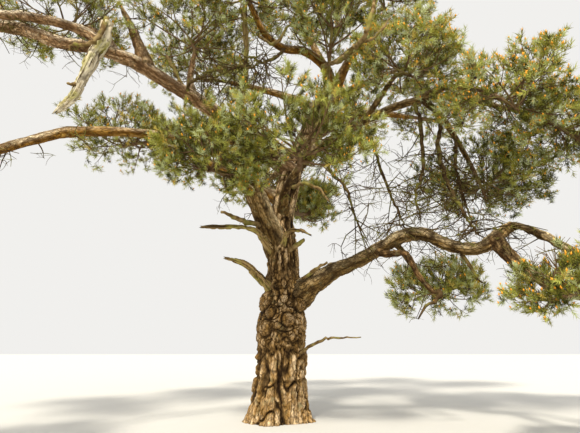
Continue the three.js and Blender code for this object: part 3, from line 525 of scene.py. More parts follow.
def soft_noise(p, seed):
    """Smooth noise from 0 to 1 at each point, one lump to a unit."""
    base = np.floor(p).astype(np.int64)
    f = eased(p - base)
    total = 0
    for corner in np.ndindex(2, 2, 2):
        weight = np.prod(np.where(np.array(corner) == 1, f, 1 - f), axis=-1)
        total = total + weight * hashed(base + np.array(corner), seed)
    return total


def rough_noise(p, seed, octaves=3):
    total = sum(0.5**k * soft_noise(p * 2**k, seed + k) for k in range(octaves))
    return total / sum(0.5**k for k in range(octaves))


def rough_shift(p, seed):
    """A shift of up to half a unit along each axis, to bend what is drawn at these points."""
    return np.stack([rough_noise(p, seed + k) - 0.5 for k in (3, 5, 7)], axis=-1)


def plates(p, seed):
    """For cells of one unit: how far each point is from its cell's edge, and its cell's own number."""
    base = np.floor(p).astype(np.int64)
    first = np.full(len(p), 9.0)
    second = np.full(len(p), 9.0)
    own = np.zeros(len(p))
    for corner in np.ndindex(3, 3, 3):
        cell = base + np.array(corner) - 1
        jitter = np.stack([hashed(cell, seed + k) for k in range(3)], axis=-1)
        far = np.linalg.norm(cell + 0.15 + 0.7 * jitter - p, axis=-1)
        nearer = far < first
        second = np.where(nearer, first, np.minimum(second, far))
        own = np.where(nearer, jitter[:, 0], own)
        first = np.where(nearer, far, first)
    return second - first, own


def fissures(local, wide, tall, width, seed):
    """Long cracks that wander, part and meet: 0 in a crack, 1 on the bark between."""
    shift = 0.75 * wide * rough_shift(local / (1.3 * wide), seed)
    value = soft_noise((local + shift) / (wide, wide, tall), seed)
    return eased(np.abs(2 * value - 1) / width)


# Meshes from arrays


def placed(name, data):
    item = bpy.data.objects.new(name, data)
    bpy.context.scene.collection.objects.link(item)
    return item


def new_mesh(name, points, triangles, material, slot, replaced=()):
    """A mesh that rides on the part, and the solids that it replaces; its slot is not used."""
    mesh = bpy.data.meshes.new(name)
    mesh.from_pydata(points.tolist(), [], triangles.tolist(), shade_flat=False)
    mesh.validate()
    mesh.materials.append(MATERIALS[material])
    piece = placed(name, mesh)
    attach(piece, "root")
    if replaced:
        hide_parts(*replaced)
    return mesh


def bark_mesh(name, points, sides, kind, slot, tone, high_bark_and_painted_highlight, local):
    """The capped, smooth bark of a limb or the trunk. Its ends take the first and last ring's mean values."""
    mesh = new_mesh(name + "_bark", *capped(points, sides), kind, slot, [name])
    # height holds how light the bark is painted, with painted shade in its cracks; the next holds the trunk's
    # paler bark high up and the painted highlight on a limb's side that faces up
    for key, values in (("height", tone), ("high_bark_and_painted_highlight", high_bark_and_painted_highlight), ("local", local)):
        ends = np.array([values[:sides].mean(axis=0), values[-sides:].mean(axis=0)])
        is_vector = values.ndim == 2
        layer = mesh.attributes.new(key, "FLOAT_VECTOR" if is_vector else "FLOAT", "POINT")
        values = np.float32(np.concatenate([values, ends]))
        layer.data.foreach_set("vector" if is_vector else "value", values.ravel())


def even_angles(count):
    return 2 * np.pi * np.arange(count) / count


def around(across, over, sides):
    """Directions at even angles round each of many points."""
    angles = even_angles(sides)[:, None]
    return across[:, None] * np.cos(angles) + over[:, None] * np.sin(angles)


def frames_along(points):
    """Two directions across a line at each of its points, carried along without twist."""
    tangents = unit(np.gradient(points, axis=0))
    guide = np.array([0, 0, 1.0]) if abs(tangents[0][2]) < 0.9 else np.array([1.0, 0, 0])
    across = []
    for t in tangents:
        guide = unit(guide - guide @ t * t)
        across.append(guide)
    across = np.array(across)
    return across, np.cross(tangents, across)


def frames_of(directions):
    """Two directions across each of many."""
    guide = np.where(np.abs(directions[:, 2:]) < 0.9, [[0, 0, 1.0]], [[1.0, 0, 0]])
    across = unit(np.cross(directions, guide))
    return across, np.cross(directions, across)


def tube_triangles(rings, sides):
    """Triangles between rings of points, each ring's points in a row after the last ring's."""
    a = np.arange(rings - 1)[:, None] * sides
    k = np.arange(sides)[None, :]
    n = (k + 1) % sides
    quads = np.stack([a + k, a + n, a + sides + n, a + sides + k], axis=-1).reshape(-1, 4)
    return np.concatenate([quads[:, [0, 1, 2]], quads[:, [0, 2, 3]]])


def fans(sides, first_hub, first_ring, second_hub, second_ring):
    """Two fans of triangles that close a shape: each hub, and where the ring of points round it starts."""
    k = np.arange(sides)
    n = (k + 1) % sides
    low = np.stack([np.full(sides, first_hub), first_ring + n, first_ring + k], axis=-1)
    high = np.stack([np.full(sides, second_hub), second_ring + k, second_ring + n], axis=-1)
    return np.concatenate([low, high])


def capped(points, sides):
    """A tube's points and triangles, with its two ends closed by fans."""
    last = len(points)
    ends = np.array([points[:sides].mean(axis=0), points[-sides:].mean(axis=0)])
    closing = fans(sides, last, 0, last + 1, last - sides)
    return np.vstack([points, ends]), np.concatenate([tube_triangles(last // sides, sides), closing])


def repeated(points, triangles):
    """The same triangles for each of many equal sets of points."""
    count, size = points.shape[:2]
    offsets = size * np.arange(count)[:, None, None]
    return points.reshape(-1, 3), (triangles[None] + offsets).reshape(-1, 3)


def thin_twigs(twigs, steps, sides=3):
    """Many bent, tapering twigs at once: their points and their triangles."""
    starts, bends, ends, roots, tips = twigs
    t = np.linspace(0, 1, steps + 1)[None, :, None]
    line = bent(starts[:, None], bends[:, None], ends[:, None], t)
    radius = roots[:, None] + (tips - roots)[:, None] * t[..., 0]
    ring = around(*frames_of(unit(ends - starts)), sides)[:, None]
    points = line[:, :, None] + ring * radius[:, :, None, None]
    return repeated(points.reshape(len(starts), -1, 3), tube_triangles(steps + 1, sides))


def spikes(starts, ends, radius):
    """Many thin twigs that run to a point, of three faces each."""
    ring = around(*frames_of(unit(ends - starts)), 3)
    points = np.concatenate([starts[:, None] + radius * ring, ends[:, None]], axis=1)
    return repeated(points, np.array([(0, 1, 3), (1, 2, 3), (2, 0, 3)]))


def small_bodies(places, directions, lengths, widths, sides):
    """Many small closed bodies, pointed at both ends, for cones."""
    ring = around(*frames_of(directions), sides)
    middles = places + directions * (0.42 * lengths)[:, None]
    belt = middles[:, None] + ring * widths[:, None, None]
    ends = np.stack([places, places + directions * lengths[:, None]], axis=1)
    return repeated(np.concatenate([ends, belt], axis=1), fans(sides, 0, 2, 1, 2))


def joined(pairs):
    """Several (points, triangles) as one."""
    points = np.concatenate([p for p, _ in pairs])
    starts = np.cumsum([0] + [len(p) for p, _ in pairs[:-1]])
    return points, np.concatenate([t + start for (_, t), start in zip(pairs, starts)])


# Materials


def plain_material(name, colour, roughness):
    material = bpy.data.materials.new(name)
    material.use_nodes = True
    shader = material.node_tree.nodes["Principled BSDF"]
    shader.inputs["Base Color"].default_value = (*colour, 1)
    shader.inputs["Roughness"].default_value = roughness
    shader.inputs["Specular IOR Level"].default_value = SHINE
    return material


def node(tree, kind, inputs, **settings):
    """A new shader node. An input is a plain value, or the output that is linked to it."""
    made = tree.nodes.new("ShaderNode" + kind)
    for key, value in settings.items():
        setattr(made, key, value)
    for key, value in inputs.items():
        if isinstance(value, bpy.types.NodeSocket):
            tree.links.new(value, made.inputs[key])
        else:
            made.inputs[key].default_value = value
    return made


def scaled(tree, vector, scale):
    return node(tree, "VectorMath", {0: vector, 1: scale}, operation="MULTIPLY").outputs["Vector"]


def noise(tree, vector, scale, detail=3, along=1, output="Fac"):
    """Noise, drawn out along a limb where along is under 1."""
    inputs = {"Scale": scale, "Detail": detail, "Vector": scaled(tree, vector, (1, 1, along))}
    return node(tree, "TexNoise", inputs).outputs[output]


def warped(tree, vector, scale, amount):
    """The vector pushed about by noise, so that what is drawn with it isn't regular."""
    shift = scaled(tree, noise(tree, vector, scale, output="Color"), (amount, amount, amount))
    return node(tree, "VectorMath", {0: vector, 1: shift}).outputs["Vector"]


def cells(tree, vector, size, output, **settings):
    wide, tall = size
    inputs = {"Scale": 1, "Vector": scaled(tree, vector, (1 / wide, 1 / wide, 1 / tall))}
    return node(tree, "TexVoronoi", inputs, **settings).outputs[output]


def mix(tree, amount, low, high):
    low, high = (shade if isinstance(shade, bpy.types.NodeSocket) else (*shade, 1) for shade in (low, high))
    return node(tree, "Mix", {0: amount, 6: low, 7: high}, data_type="RGBA").outputs[2]


def stretched(tree, value, low, high, to_low=0, to_high=1):
    """The range from low to high as the range from to_low to to_high."""
    inputs = {"From Min": low, "From Max": high, "To Min": to_low, "To Max": to_high, "Value": value}
    return node(tree, "MapRange", inputs).outputs["Result"]


def attribute(tree, name, output="Fac"):
    return node(tree, "Attribute", {}, attribute_name=name).outputs[output]


def times(tree, a, b):
    return node(tree, "Math", {0: a, 1: b}, operation="MULTIPLY").outputs["Value"]


def finished(material, colour, height=None, distance=0):
    """The material in this colour, with fine relief where a height is given."""
    tree = material.node_tree
    shader = tree.nodes["Principled BSDF"]
    tree.links.new(colour, shader.inputs["Base Color"])
    if height:
        bump = node(tree, "Bump", {"Distance": distance, "Height": height})
        tree.links.new(bump.outputs["Normal"], shader.inputs["Normal"])
    return material


def bark_material(kind, crack, plate, pale, high_bark_and_painted_highlight_colour, scale, least):
    """Bark in scales: painted shade in the cracks, patches of two colours, paler bark high on the trunk, a
    painted highlight on a limb's side that faces up, and some lichen.
    """
    material = plain_material("bark_" + kind, plate, BARK_ROUGHNESS)
    tree = material.node_tree
    place = warped(tree, attribute(tree, "local", "Vector"), 9, 0.1)
    height = attribute(tree, "height")
    scales = stretched(tree, cells(tree, place, scale, "Distance", feature="DISTANCE_TO_EDGE"), 0, 0.13)
    tones = stretched(tree, cells(tree, place, scale, "Color"), 0.25, 0.75, 0.3)
    fine = noise(tree, place, 34, 6, 0.4)
    patches = times(tree, stretched(tree, noise(tree, place, 6, 3, 0.6), 0.3, 0.55), tones)
    colour = mix(tree, times(tree, patches, stretched(tree, height, 0.45, 0.95, 0.15)), plate, pale)
    # Thin cracks drawn in the crack colour, which is painted shade
    colour = mix(tree, stretched(tree, noise(tree, place, 15, 4, 0.13), 0.52, 0.66, 0, 0.5), colour, crack)
    colour = mix(tree, stretched(tree, fine, 0.42, 0.7, 0, 0.6), colour, crack)
    # On a limb a painted highlight on the side that faces up, on the trunk its own paler bark high up; less
    # in fine cracks
    high_bark_and_painted_highlight = times(tree, attribute(tree, "high_bark_and_painted_highlight"), stretched(tree, fine, 0.35, 0.55, 1, 0.35))
    colour = mix(tree, high_bark_and_painted_highlight, colour, high_bark_and_painted_highlight_colour)
    spots = stretched(tree, noise(tree, place, 7, 4), 0.58, 0.68, 0, BARK_LICHEN_SHARE)
    colour = mix(tree, spots, colour, BARK_LICHEN)
    # Painted shade: the crack colour in the cracks and along the scales' edges, down to the least light given
    depth = times(tree, stretched(tree, scales, 0, 1, 0.45), stretched(tree, height, 0, 0.6, least))
    return finished(material, mix(tree, depth, crack, colour), times(tree, scales, fine), BARK_BUMP)


def dead_material(kind, crack_shade, wood, pale, lichen):
    """Bare wood: grey streaks, cracks along the grain painted with shade, and yellow-green lichen."""
    material = plain_material(kind + "_wood", wood, DEAD_ROUGHNESS)
    tree = material.node_tree
    place = attribute(tree, "local", "Vector")
    streaks = noise(tree, place, 30, 4, 0.06)
    colour = mix(tree, stretched(tree, streaks, 0.35, 0.6), wood, pale)
    # Thin cracks drawn along the grain in the crack colour, which is painted shade
    colour = mix(tree, stretched(tree, noise(tree, place, 26, 3, 0.04), 0.56, 0.64), colour, crack_shade)
    spots = stretched(tree, noise(tree, place, 5, 4, 0.5), 0.5, 0.62, 0, lichen)
    colour = mix(tree, spots, colour, DEAD_LICHEN)
    # Painted shade between the grain's plates
    depth = stretched(tree, attribute(tree, "height"), 0, 0.4, 0.3)
    return finished(material, mix(tree, depth, crack_shade, colour), streaks, DEAD_BUMP)


def twig_material(kind, bark, pale, lichen):
    material = plain_material(kind, bark, TWIG_ROUGHNESS)
    tree = material.node_tree
    place = node(tree, "TexCoord", {}).outputs["Object"]
    colour = mix(tree, stretched(tree, noise(tree, place, 9), 0.4, 0.65), bark, pale)
    spots = stretched(tree, noise(tree, place, 3), 0.5, 0.65, 0, lichen)
    return finished(material, mix(tree, spots, colour, TWIG_LICHEN))


def build_materials():
    made = {kind: bark_material(kind, *values) for kind, values in BARKS.items()}
    made |= {kind: dead_material(kind, *values) for kind, values in DEAD_WOODS.items()}
    made |= {kind: twig_material(kind, *values) for kind, values in TWIG_BARKS.items()}
    made |= {kind: plain_material(kind, *values) for kind, values in CONES.items()}
    for tint, shade in TINTS.items():
        made["needles_" + tint] = plain_material("needles_" + tint, shade, NEEDLE_ROUGHNESS)
    return made


# The trunk


def laid_out(radius, turn, along):
    """Points of a limb or the trunk laid out straight, for what is drawn on its bark."""
    return np.stack([radius * np.cos(turn), radius * np.sin(turn), along], axis=-1)


def off_burr(bearing, degrees):
    """The angle from a burr's middle to each bearing."""
    off = bearing - math.radians(degrees)
    return np.arctan2(np.sin(off), np.cos(off))


def trunk_radius(height, bearing):
    radius = np.interp(height, *np.transpose(TRUNK_RADII))
    flare = ROOT_FLARE * np.exp(-height / ROOT_FLARE_HEIGHT)
    for lobes, turn, share in BUTTRESSES:
        radius = radius * (1 + flare * share * (1 + np.cos(lobes * bearing + turn)))
    for at, degrees, width, rise in BURRS:
        far = ((height - at) ** 2 + (off_burr(bearing, degrees) * radius) ** 2) / width**2
        radius = radius + rise * np.exp(-(far**1.5))
    return radius


def crease(height, turn, at, waves, phase, width):
    """1 in a level crease round the trunk, 0 away from it."""
    return np.exp(-((height - at - CREASE_WAVE * np.sin(waves * turn + phase)) / width) ** 2)


def burr_whorls(height, bearing, radius):
    """Whorled bark on the burrs: how far it stands out, how much plain bark it replaces, and its rim, sunken
    and painted with shade.
    """
    out, cover, rim = np.zeros((3, len(height)))
    for at, degrees, width, rise in BURRS:
        if rise > WHORLED_RISE:
            far = np.sqrt((height - at) ** 2 + (off_burr(bearing, degrees) * radius) ** 2) / width
            near = np.exp(-((far / 0.95) ** 6))
            out += WHORL_HEIGHT * near * np.cos(2 * np.pi * far / WHORL_STEP)
            cover = np.maximum(cover, near)
            rim = np.maximum(rim, np.exp(-(((far - 1.2) / 0.2) ** 2)))
    return out, cover, rim


def zone_sum(zones, values):
    return (zones * np.stack(values, axis=1)).sum(axis=1)


def trunk_bark(height, bearing, radius, local):
    """How far the trunk's bark stands out, and how light it is painted: 0 deep in a crack, 1 on a plate, with
    the cracks, the flakes' edges and the burrs' rims darker as painted shade.
    """
    low = np.clip((LOW_ZONE[0] - height) / LOW_ZONE[1], 0, 1)[:, None]
    high = np.clip((height - HIGH_ZONE[0]) / HIGH_ZONE[1], 0, 1)[:, None]
    zones = np.concatenate([low, (1 - low) * (1 - high), high], axis=1)
    deep = [np.minimum.reduce([fissures(local, *crack) for crack in cracks]) for cracks in LONG_CRACKS]
    shift = 0.14 * rough_shift(local / 0.16, 68)
    deep[1] = np.minimum(deep[1], np.clip(plates((local + shift) / SHINGLE, 66)[0] / 0.17, 0, 1))
    depth = zone_sum(zones, deep)
    fine = zone_sum(zones, [fissures(local, *crack) for crack in SMALL_CRACKS])
    edge, own = plates(local / FLAKE, 65)
    flake = np.clip(edge / 0.12, 0, 1)
    whorls, cover, rim = burr_whorls(height, bearing, radius)
    depth = (depth * (1 - cover) + cover * (0.85 + 12 * whorls)) * (1 - 0.85 * rim)
    amount = (zones * BARK_DEPTHS).sum(axis=1)
    rough = rough_noise(local / 0.03, 75, 2) - 0.5
    out = depth - 0.85 + 0.3 * fine * depth + 0.4 * (own - 0.5) * depth + 0.08 * flake + 0.13 * rough
    # Painted shade in the cracks and at the flakes' edges, with tone that differs at random from flake to
    # flake
    tone = depth * (0.45 + 0.4 * fine + 0.15 * flake) + 0.16 * (own - 0.5)
    return amount * out + whorls, np.clip(tone, 0, 1)


def build_trunk():
    steps = [np.linspace(start, end, count, endpoint=False) for start, end, count in TRUNK_SHARES]
    centres = spline(TRUNK_LINE, np.append(np.concatenate(steps), 1))
    height, turn = np.meshgrid(centres[:, 2], even_angles(TRUNK_SIDES), indexing="ij")
    radius = trunk_radius(height, turn).ravel()
    height, turn = height.ravel(), turn.ravel()
    local = laid_out(radius, turn, height)
    bark, tone = trunk_bark(height, turn, radius, local)
    creases = sum(crease(height, turn, *values) for values in CREASES)
    out = radius + np.clip(radius / 0.35, 0.3, 1) * bark - CREASE_DEPTH * creases
    # Painted shade in the level creases
    tone = tone * (1 - 0.5 * np.clip(creases, 0, 1))
    points = np.repeat(centres, TRUNK_SIDES, axis=0)
    points[:, 0] += out * np.cos(turn)
    points[:, 1] += out * np.sin(turn)
    # The trunk's own paler bark high up, on its plates
    high_bark_and_painted_highlight = np.clip((height - 2.9) / 1.4, 0, 0.8) * tone
    bark_mesh("trunk", points, TRUNK_SIDES, "trunk", "bark_trunk", tone, high_bark_and_painted_highlight, local)


# The limbs


def radii_off(point, line, radii):
    """How far from a limb's line a point is, in radii: under 1 is inside."""
    return float(np.min(np.linalg.norm(spline(line, np.linspace(0, 1, SAMPLES)) - point, axis=1) / radii))


def carriers():
    shares = np.linspace(0, 1, SAMPLES)
    trunk = np.interp(spline(TRUNK_LINE, shares)[:, 2], *np.transpose(TRUNK_RADII))
    found = {name: (line, radius_along(line, shares)) for name, (_, line) in LIMBS.items()}
    return {"trunk": (TRUNK_LINE, trunk), **found}


def share_inside(name, line, centres):
    """The share of a limb that is still inside what carries it."""
    start = np.array(line[0][:3])
    others = [carrier for other, carrier in carriers().items() if other != name]
    carrier = min(others, key=lambda each: radii_off(start, *each))
    outside = [k for k, centre in enumerate(centres) if radii_off(centre, *carrier) > 1]
    return outside[0] / (len(centres) - 1) if outside else 0


def limb_bark(local, size, smooth, seed):
    """Bark on a limb laid out straight: how far each point stands out, and how light it is painted, darker in
    its cracks and at its flakes' edges as painted shade.
    """
    deep, fine = (
        fissures(local, wide * size, tall * size, width, seed + 3 * k)
        for k, (wide, tall, width) in enumerate(LIMB_CRACKS))
    long = np.minimum(deep, 0.25 + 0.75 * fine)
    edge, own = plates(local / (LIMB_FLAKE * size), seed + 1)
    flake = np.clip(edge / 0.3, 0, 1)
    rough = rough_noise(local / 0.045, seed + 2, 2) - 0.5
    amount = (SMOOTH_BARK if smooth else ROUGH_BARK) * size
    out = amount * (long - 0.8 + 0.35 * flake + 0.6 * (own - 0.5) + 0.4 * rough)
    return out, long * (0.55 + 0.45 * flake)


def dead_grain(local, width, turn, ribs, seed):
    """Bare wood on a limb laid out straight, torn into ribs: the same two values, the second with painted
    shade between the grain's plates.
    """
    wide = GRAIN[0]
    shift = 0.9 * wide * rough_shift(local / (2.2 * wide), seed)
    edge, own = plates((local + shift) / GRAIN, seed)
    height = eased(edge / 0.3)
    rough = rough_noise(local / (0.35 * wide), seed + 11) - 0.5
    torn = ribs * np.cos(2 * (turn + RIB_TWIST * local[:, 2])) * width
    return GRAIN_DEPTH * (height - 0.75 + 0.6 * (own - 0.5) * height + 0.35 * rough) + torn, height


def splintered(points, centres, sides, index):
    """A dead limb's broken end: its last rings drawn out into splinters."""
    rng = np.random.default_rng(SEED + index)
    heading = unit(centres[-1] - centres[-4])
    reach = SPLINTER_REACH * rng.random(sides) ** 2
    for k in range(SPLINTERS):
        ring = slice(len(points) - (k + 1) * sides, len(points) - k * sides)
        share = 1 - k / SPLINTERS
        points[ring] += heading * (reach * share - 0.06 * share)[:, None]
        points[ring] += (centres[-1 - k] - points[ring]) * 0.3 * share
    return points


def limb_rings(name, line, length, fine):
    """A limb's rings: their middles, radii without and with its collar, and shares of its line."""
    shares = np.linspace(0, 1, max(24, int(length / (FINE_RING if fine else COARSE_RING))))
    centres = spline(line, shares)
    radius = radius_along(line, shares)
    past = np.maximum(0, (shares - share_inside(name, line, centres)) * length)
    return centres, radius, radius * (1 + COLLAR * np.exp(-past / (1.2 * radius[0]))), shares


def build_limb(name, index):
    kind, line = LIMBS[name]
    dead = kind in DEAD_WOODS
    broken = dead or kind == "snag"
    stout = line[0][3] > STOUT_RADIUS
    length = length_of(line)
    centres, radius, width, shares = limb_rings(name, line, length, dead or stout)
    sides = int(np.clip(2 * np.pi * radius.mean() / (FINE_SIDE if stout else COARSE_SIDE), 12, 72))
    turn = np.tile(even_angles(sides), len(centres))
    width = np.repeat(width, sides)
    local = laid_out(width, turn, np.repeat(shares * length, sides))
    if dead:
        out, tone = dead_grain(local, width, turn, TORN_RIBS if name == "torn_limb" else RIBS, 40 + index)
    else:
        out, tone = limb_bark(local, np.clip(radius[0] / 0.25, 0.5, 1), kind == "orange", 20 + index)
    lumps = rough_noise(local / (radius[0] * LUMP), 60 + index) - 0.5
    out = width * (1 + LUMPS * lumps) + out
    direction = around(*frames_along(centres), sides).reshape(-1, 3)
    points = np.repeat(centres, sides, axis=0) + direction * out[:, None]
    if broken:
        points = splintered(points, centres, sides, index)
    # A painted highlight in patches on the side of each limb that faces up, where light from above falls
    patchy = np.clip(2.6 * rough_noise(local / PATCH, 80 + index) - 0.5, 0, 1)
    high_bark_and_painted_highlight = np.clip((direction[:, 2] + 0.3) * 2, 0, 1) * patchy
    slot = "dead_wood" if broken else "bark_limbs"
    bark_mesh(name, points, sides, kind, slot, tone, high_bark_and_painted_highlight, local + (0, 0, 3.7 * index))


def bare_limb(rng, line):
    """A thin bare limb's middle line, and its points and triangles."""
    rings = max(8, int(length_of(line) / BARE_RING))
    shares = np.linspace(0, 1, rings)
    centres = spline(line, shares)
    centres[1:-1] += 0.012 * rng.normal(size=(rings - 2, 3))
    direction = around(*frames_along(centres), BARE_SIDES)
    width = radius_along(line, shares)[:, None] * (1 + 0.16 * rng.normal(size=(rings, BARE_SIDES)))
    points = centres[:, None] + direction * width[..., None]
    return centres, capped(points.reshape(-1, 3), BARE_SIDES)


def bare_twigs(rng, start, droop, orders):
    """Bare twigs from these points, and twigs off these, in as many orders as there are."""
    shapes = []
    for radius, length, count in orders:
        heading = unit(rng.normal(size=start.shape) * (1, 1, 0.6) - (0, 0, droop))
        reach = length * (0.5 + rng.random((len(start), 1)))
        end = start + heading * reach
        bend = 0.5 * (start + end) + 0.16 * reach * rng.normal(size=start.shape)
        roots = np.full(len(start), radius)
        shapes.append(thin_twigs((start, bend, end, roots, 0.45 * roots), 3))
        if count:
            t = 0.35 + 0.65 * rng.random((len(start), count, 1))
            start = bent(start[:, None], bend[:, None], end[:, None], t).reshape(-1, 3)
    return shapes


def build_bare_limbs():
    rng = np.random.default_rng(SEED + 50)
    stubs, twigs = [], []
    for name, line in BARE_LIMBS.items():
        centres, shape = bare_limb(rng, line)
        (twigs if name in TWIGGY + DARK_STUBS else stubs).append(shape)
        if name in TWIGGY:
            hung = centres[rng.integers(len(centres) // 4, len(centres), HANGING_TWIGS)]
            twigs += bare_twigs(rng, hung, 0.55, HANGING_ORDERS)
    for kind, line in LIMBS.values():
        if kind not in DEAD_WOODS:
            count = int(SIDE_TWIGS_PER_METRE * length_of(line))
            twigs += bare_twigs(rng, spline(line, 0.4 + 0.6 * rng.random(count)), 0.4, SIDE_ORDERS)
    new_mesh("bare_stubs", *joined(stubs), "bare_stubs", "dead_wood")
    new_mesh("bare_hanging_twigs", *joined(twigs), "bare_twigs", "dead_wood")


# The foliage


def stem_line(carrier, middle, size):
    """Start, bend, end and root radius of a mass's stem, as the source has it."""
    goal = np.array(middle) - (0, 0, STEM_DROP * size[2])
    if isinstance(carrier, tuple):
        start = np.array(carrier, float)
        return start, 0.5 * (start + goal) - STEM_SAG, goal, TRUNK_STEM
    line = LIMBS[carrier][1]
    before, start = spline(line, [0.99, 1])
    bend = start + STEM_BEND * np.linalg.norm(goal - start) * unit(start - before)
    return start, bend, goal, STEM_TAPER * line[-1][3]


def main_twigs(index, stem, middle, size, grown):
    """The source's main twigs of a mass: where each starts on the stem, and where it ends."""
    random = seeded(1000 + 77 * index)
    phase = next(random) * 2 * math.pi
    starts, ends = [], []
    for i in range(TWIGS):
        rise = LOWEST_TWIG + (HIGHEST_TWIG - LOWEST_TWIG) * (i + 0.5) / TWIGS
        level = math.sqrt(1 - rise * rise)
        spread = [BEARING_STEP * k + BEARING_SPREAD * (next(random) - 0.5) for k in range(BEARINGS)]
        reach = 0.9 + 0.2 * next(random)
        for _ in range(DRAWS_PASSED):
            next(random)
        for k in grown:
            bearing = phase + i * TURN + spread[k]
            lift = LIFT if k else 0
            outward = unit(np.array([level * math.cos(bearing), level * math.sin(bearing), rise + lift]))
            starts.append(bent(*stem, STEM_NODES[i * len(STEM_NODES) // TWIGS]))
            ends.append(middle + outward * size * MAIN_REACH * reach)
    return np.array(starts), np.array(ends)


def grow(rng, twigs, count, length, sideways, rise, bare):
    """The next twigs along many bent twigs, count from each: starts, directions, lengths and root radii."""
    n = len(twigs[0])
    t = bare + (1 - bare) * (np.arange(count)[None, :] + rng.random((n, count))) / count
    t = np.clip(t, 0, 1)[..., None]
    s, b, e = (each[:, None] for each in twigs[:3])
    roots, tips = (each[:, None] for each in twigs[3:])
    along = unit(2 * (1 - t) * (b - s) + 2 * t * (e - b))
    side = unit(np.cross(along, rng.normal(size=along.shape)))
    direction = unit(along * (0.55 + 0.4 * t) + side * sideways + (0, 0, rise))
    lengths = length * (1.15 - 0.5 * t[..., 0]) * (0.7 + 0.6 * rng.random((n, count)))
    radius = (roots + (tips - roots) * t[..., 0]) * 0.7
    return bent(s, b, e, t).reshape(-1, 3), direction.reshape(-1, 3), lengths.ravel(), radius.ravel()


def bent_ends(rng, base, direction, length, droop):
    """The bends and ends of new twigs, which leave sideways and turn up."""
    end = base + direction * length[:, None]
    bend = base + direction * (0.5 * length)[:, None]
    bend[:, 2] -= droop * length
    return bend + 0.08 * length[:, None] * rng.normal(size=bend.shape), end


def out_from(points, middle, size):
    """How far out in a mass's space each point is: 1 at its edge."""
    return np.linalg.norm((points - middle) / size, axis=1)


def grow_mass(rng, index, name):
    """All twigs of a mass, and its shoots' starts and directions."""
    carrier, middle, size, _ = MASSES[name]
    *stem, root = stem_line(carrier, middle, size)
    first = [each[None] for each in stem] + [np.array([root]), np.array([0.5 * root])]
    wood = [thin_twigs(first, 8, 7)]
    start, end = main_twigs(index, stem, middle, size, DENSE_BEARINGS if name in DENSE else BEARINGS_GROWN)
    bend = 0.5 * (start + end) + MAIN_SAG + MAIN_BEND * rng.normal(size=start.shape)
    twigs = (start, bend, end, np.full(len(start), 0.42 * root + 0.004), np.full(len(start), MAIN_TIP))
    wood.append(thin_twigs(twigs, 5))
    scale = (size[0] + size[1]) / 3
    for count, share, sideways, rise, bare, droop, limit, least, most, tip, steps in TWIG_ORDERS:
        base, direction, length, radius = grow(rng, twigs, count, share * scale, sideways, rise, bare)
        bend, end = bent_ends(rng, base, direction, length, droop)
        keep = out_from(end, middle, size) < limit
        roots = np.clip(radius[keep], least, most)
        twigs = (base[keep], bend[keep], end[keep], roots, np.full(len(roots), tip))
        wood.append(thin_twigs(twigs, steps))
    shoots, direction, _, _ = grow(rng, twigs, NEAR_SHOOTS if name in NEAR else SHOOTS, *SHOOT_GROWTH)
    direction = unit(direction + SHOOT_RISE)
    keep = shoots[:, 2] > middle[2] - LOWEST_SHOOT * size[2]
    for x, y, z, radius in OPENINGS:
        keep &= np.linalg.norm(shoots - (x, y, z), axis=1) > radius
    return wood, shoots[keep], direction[keep]


def needles_on(rng, shoots, directions, length, near):
    """A tuft of paired needles on each shoot: three points to a needle."""
    n = len(shoots)
    count = NEAR_NEEDLES if near else NEEDLES
    size = NEAR_SIZE if near else 1
    along = directions[:, None]
    e1 = unit(np.cross(directions, rng.normal(size=directions.shape)))[:, None]
    e2 = np.cross(along, e1)
    k = np.arange(count)
    pair = k // 2
    place = (pair + rng.random((n, count))) / (count / 2)
    turn = pair * TURN + (k % 2) * PAIR_ANGLE + 0.3 * rng.random((n, count))
    most, less, varies = NEEDLE_LEAN
    lean = np.radians(most - less * place + varies * (rng.random((n, count)) - 0.5))
    radial = e1 * np.cos(turn)[..., None] + e2 * np.sin(turn)[..., None]
    heading = along * np.cos(lean)[..., None] + radial * np.sin(lean)[..., None]
    base = shoots[:, None] + along * (length[:, None] * place)[..., None]
    reach = size * NEEDLE_LENGTH * (0.75 + 0.4 * rng.random((n, count)))
    tip = base + heading * reach[..., None]
    half = 0.5 * size * NEEDLE_WIDTH * unit(np.cross(heading, rng.normal(size=heading.shape)))
    points = np.stack([base - half, base + half, tip], axis=2).reshape(-1, 3)
    return points, np.arange(len(points)).reshape(-1, 3)


def pollen_cones_on(rng, ends, directions, size):
    """Upright clusters of pollen cones at the ends of shoots."""
    upright = unit(directions + (0, 0, 1.4))
    length, width, longer, wider, sides = POLLEN_CONE
    lengths = size * (length + longer * rng.random(len(ends)))
    widths = size * (width + wider * rng.random(len(ends)))
    return small_bodies(ends + 0.01 * upright, upright, lengths, widths, sides)


def old_cones_on(rng, places, directions):
    hanging = unit(0.5 * rng.normal(size=directions.shape) - directions)
    length, width, sides = OLD_CONE
    return small_bodies(places, hanging, np.full(len(places), length), np.full(len(places), width), sides)


def tint_of(rng, name, out):
    """Which tint of needles each shoot has: deeper inside a mass and in the shaded ones, as painted shade,
    and lighter at a mass's outside, as painted light.
    """
    draw = rng.random(len(out))
    inner, sunny = INNER_SHARES, SUNNY_SHARES
    if name in NEAR:
        sunny = NEAR_SHARES
    if name in SHADED:
        inner = sunny = SHADED_SHARES
    share = np.clip((out - 0.45) / 0.4, 0, 1)[:, None]
    bounds = np.cumsum(inner) * (1 - share) + np.cumsum(sunny) * share
    return np.minimum((draw[:, None] > bounds).sum(axis=1), len(TINTS) - 1)


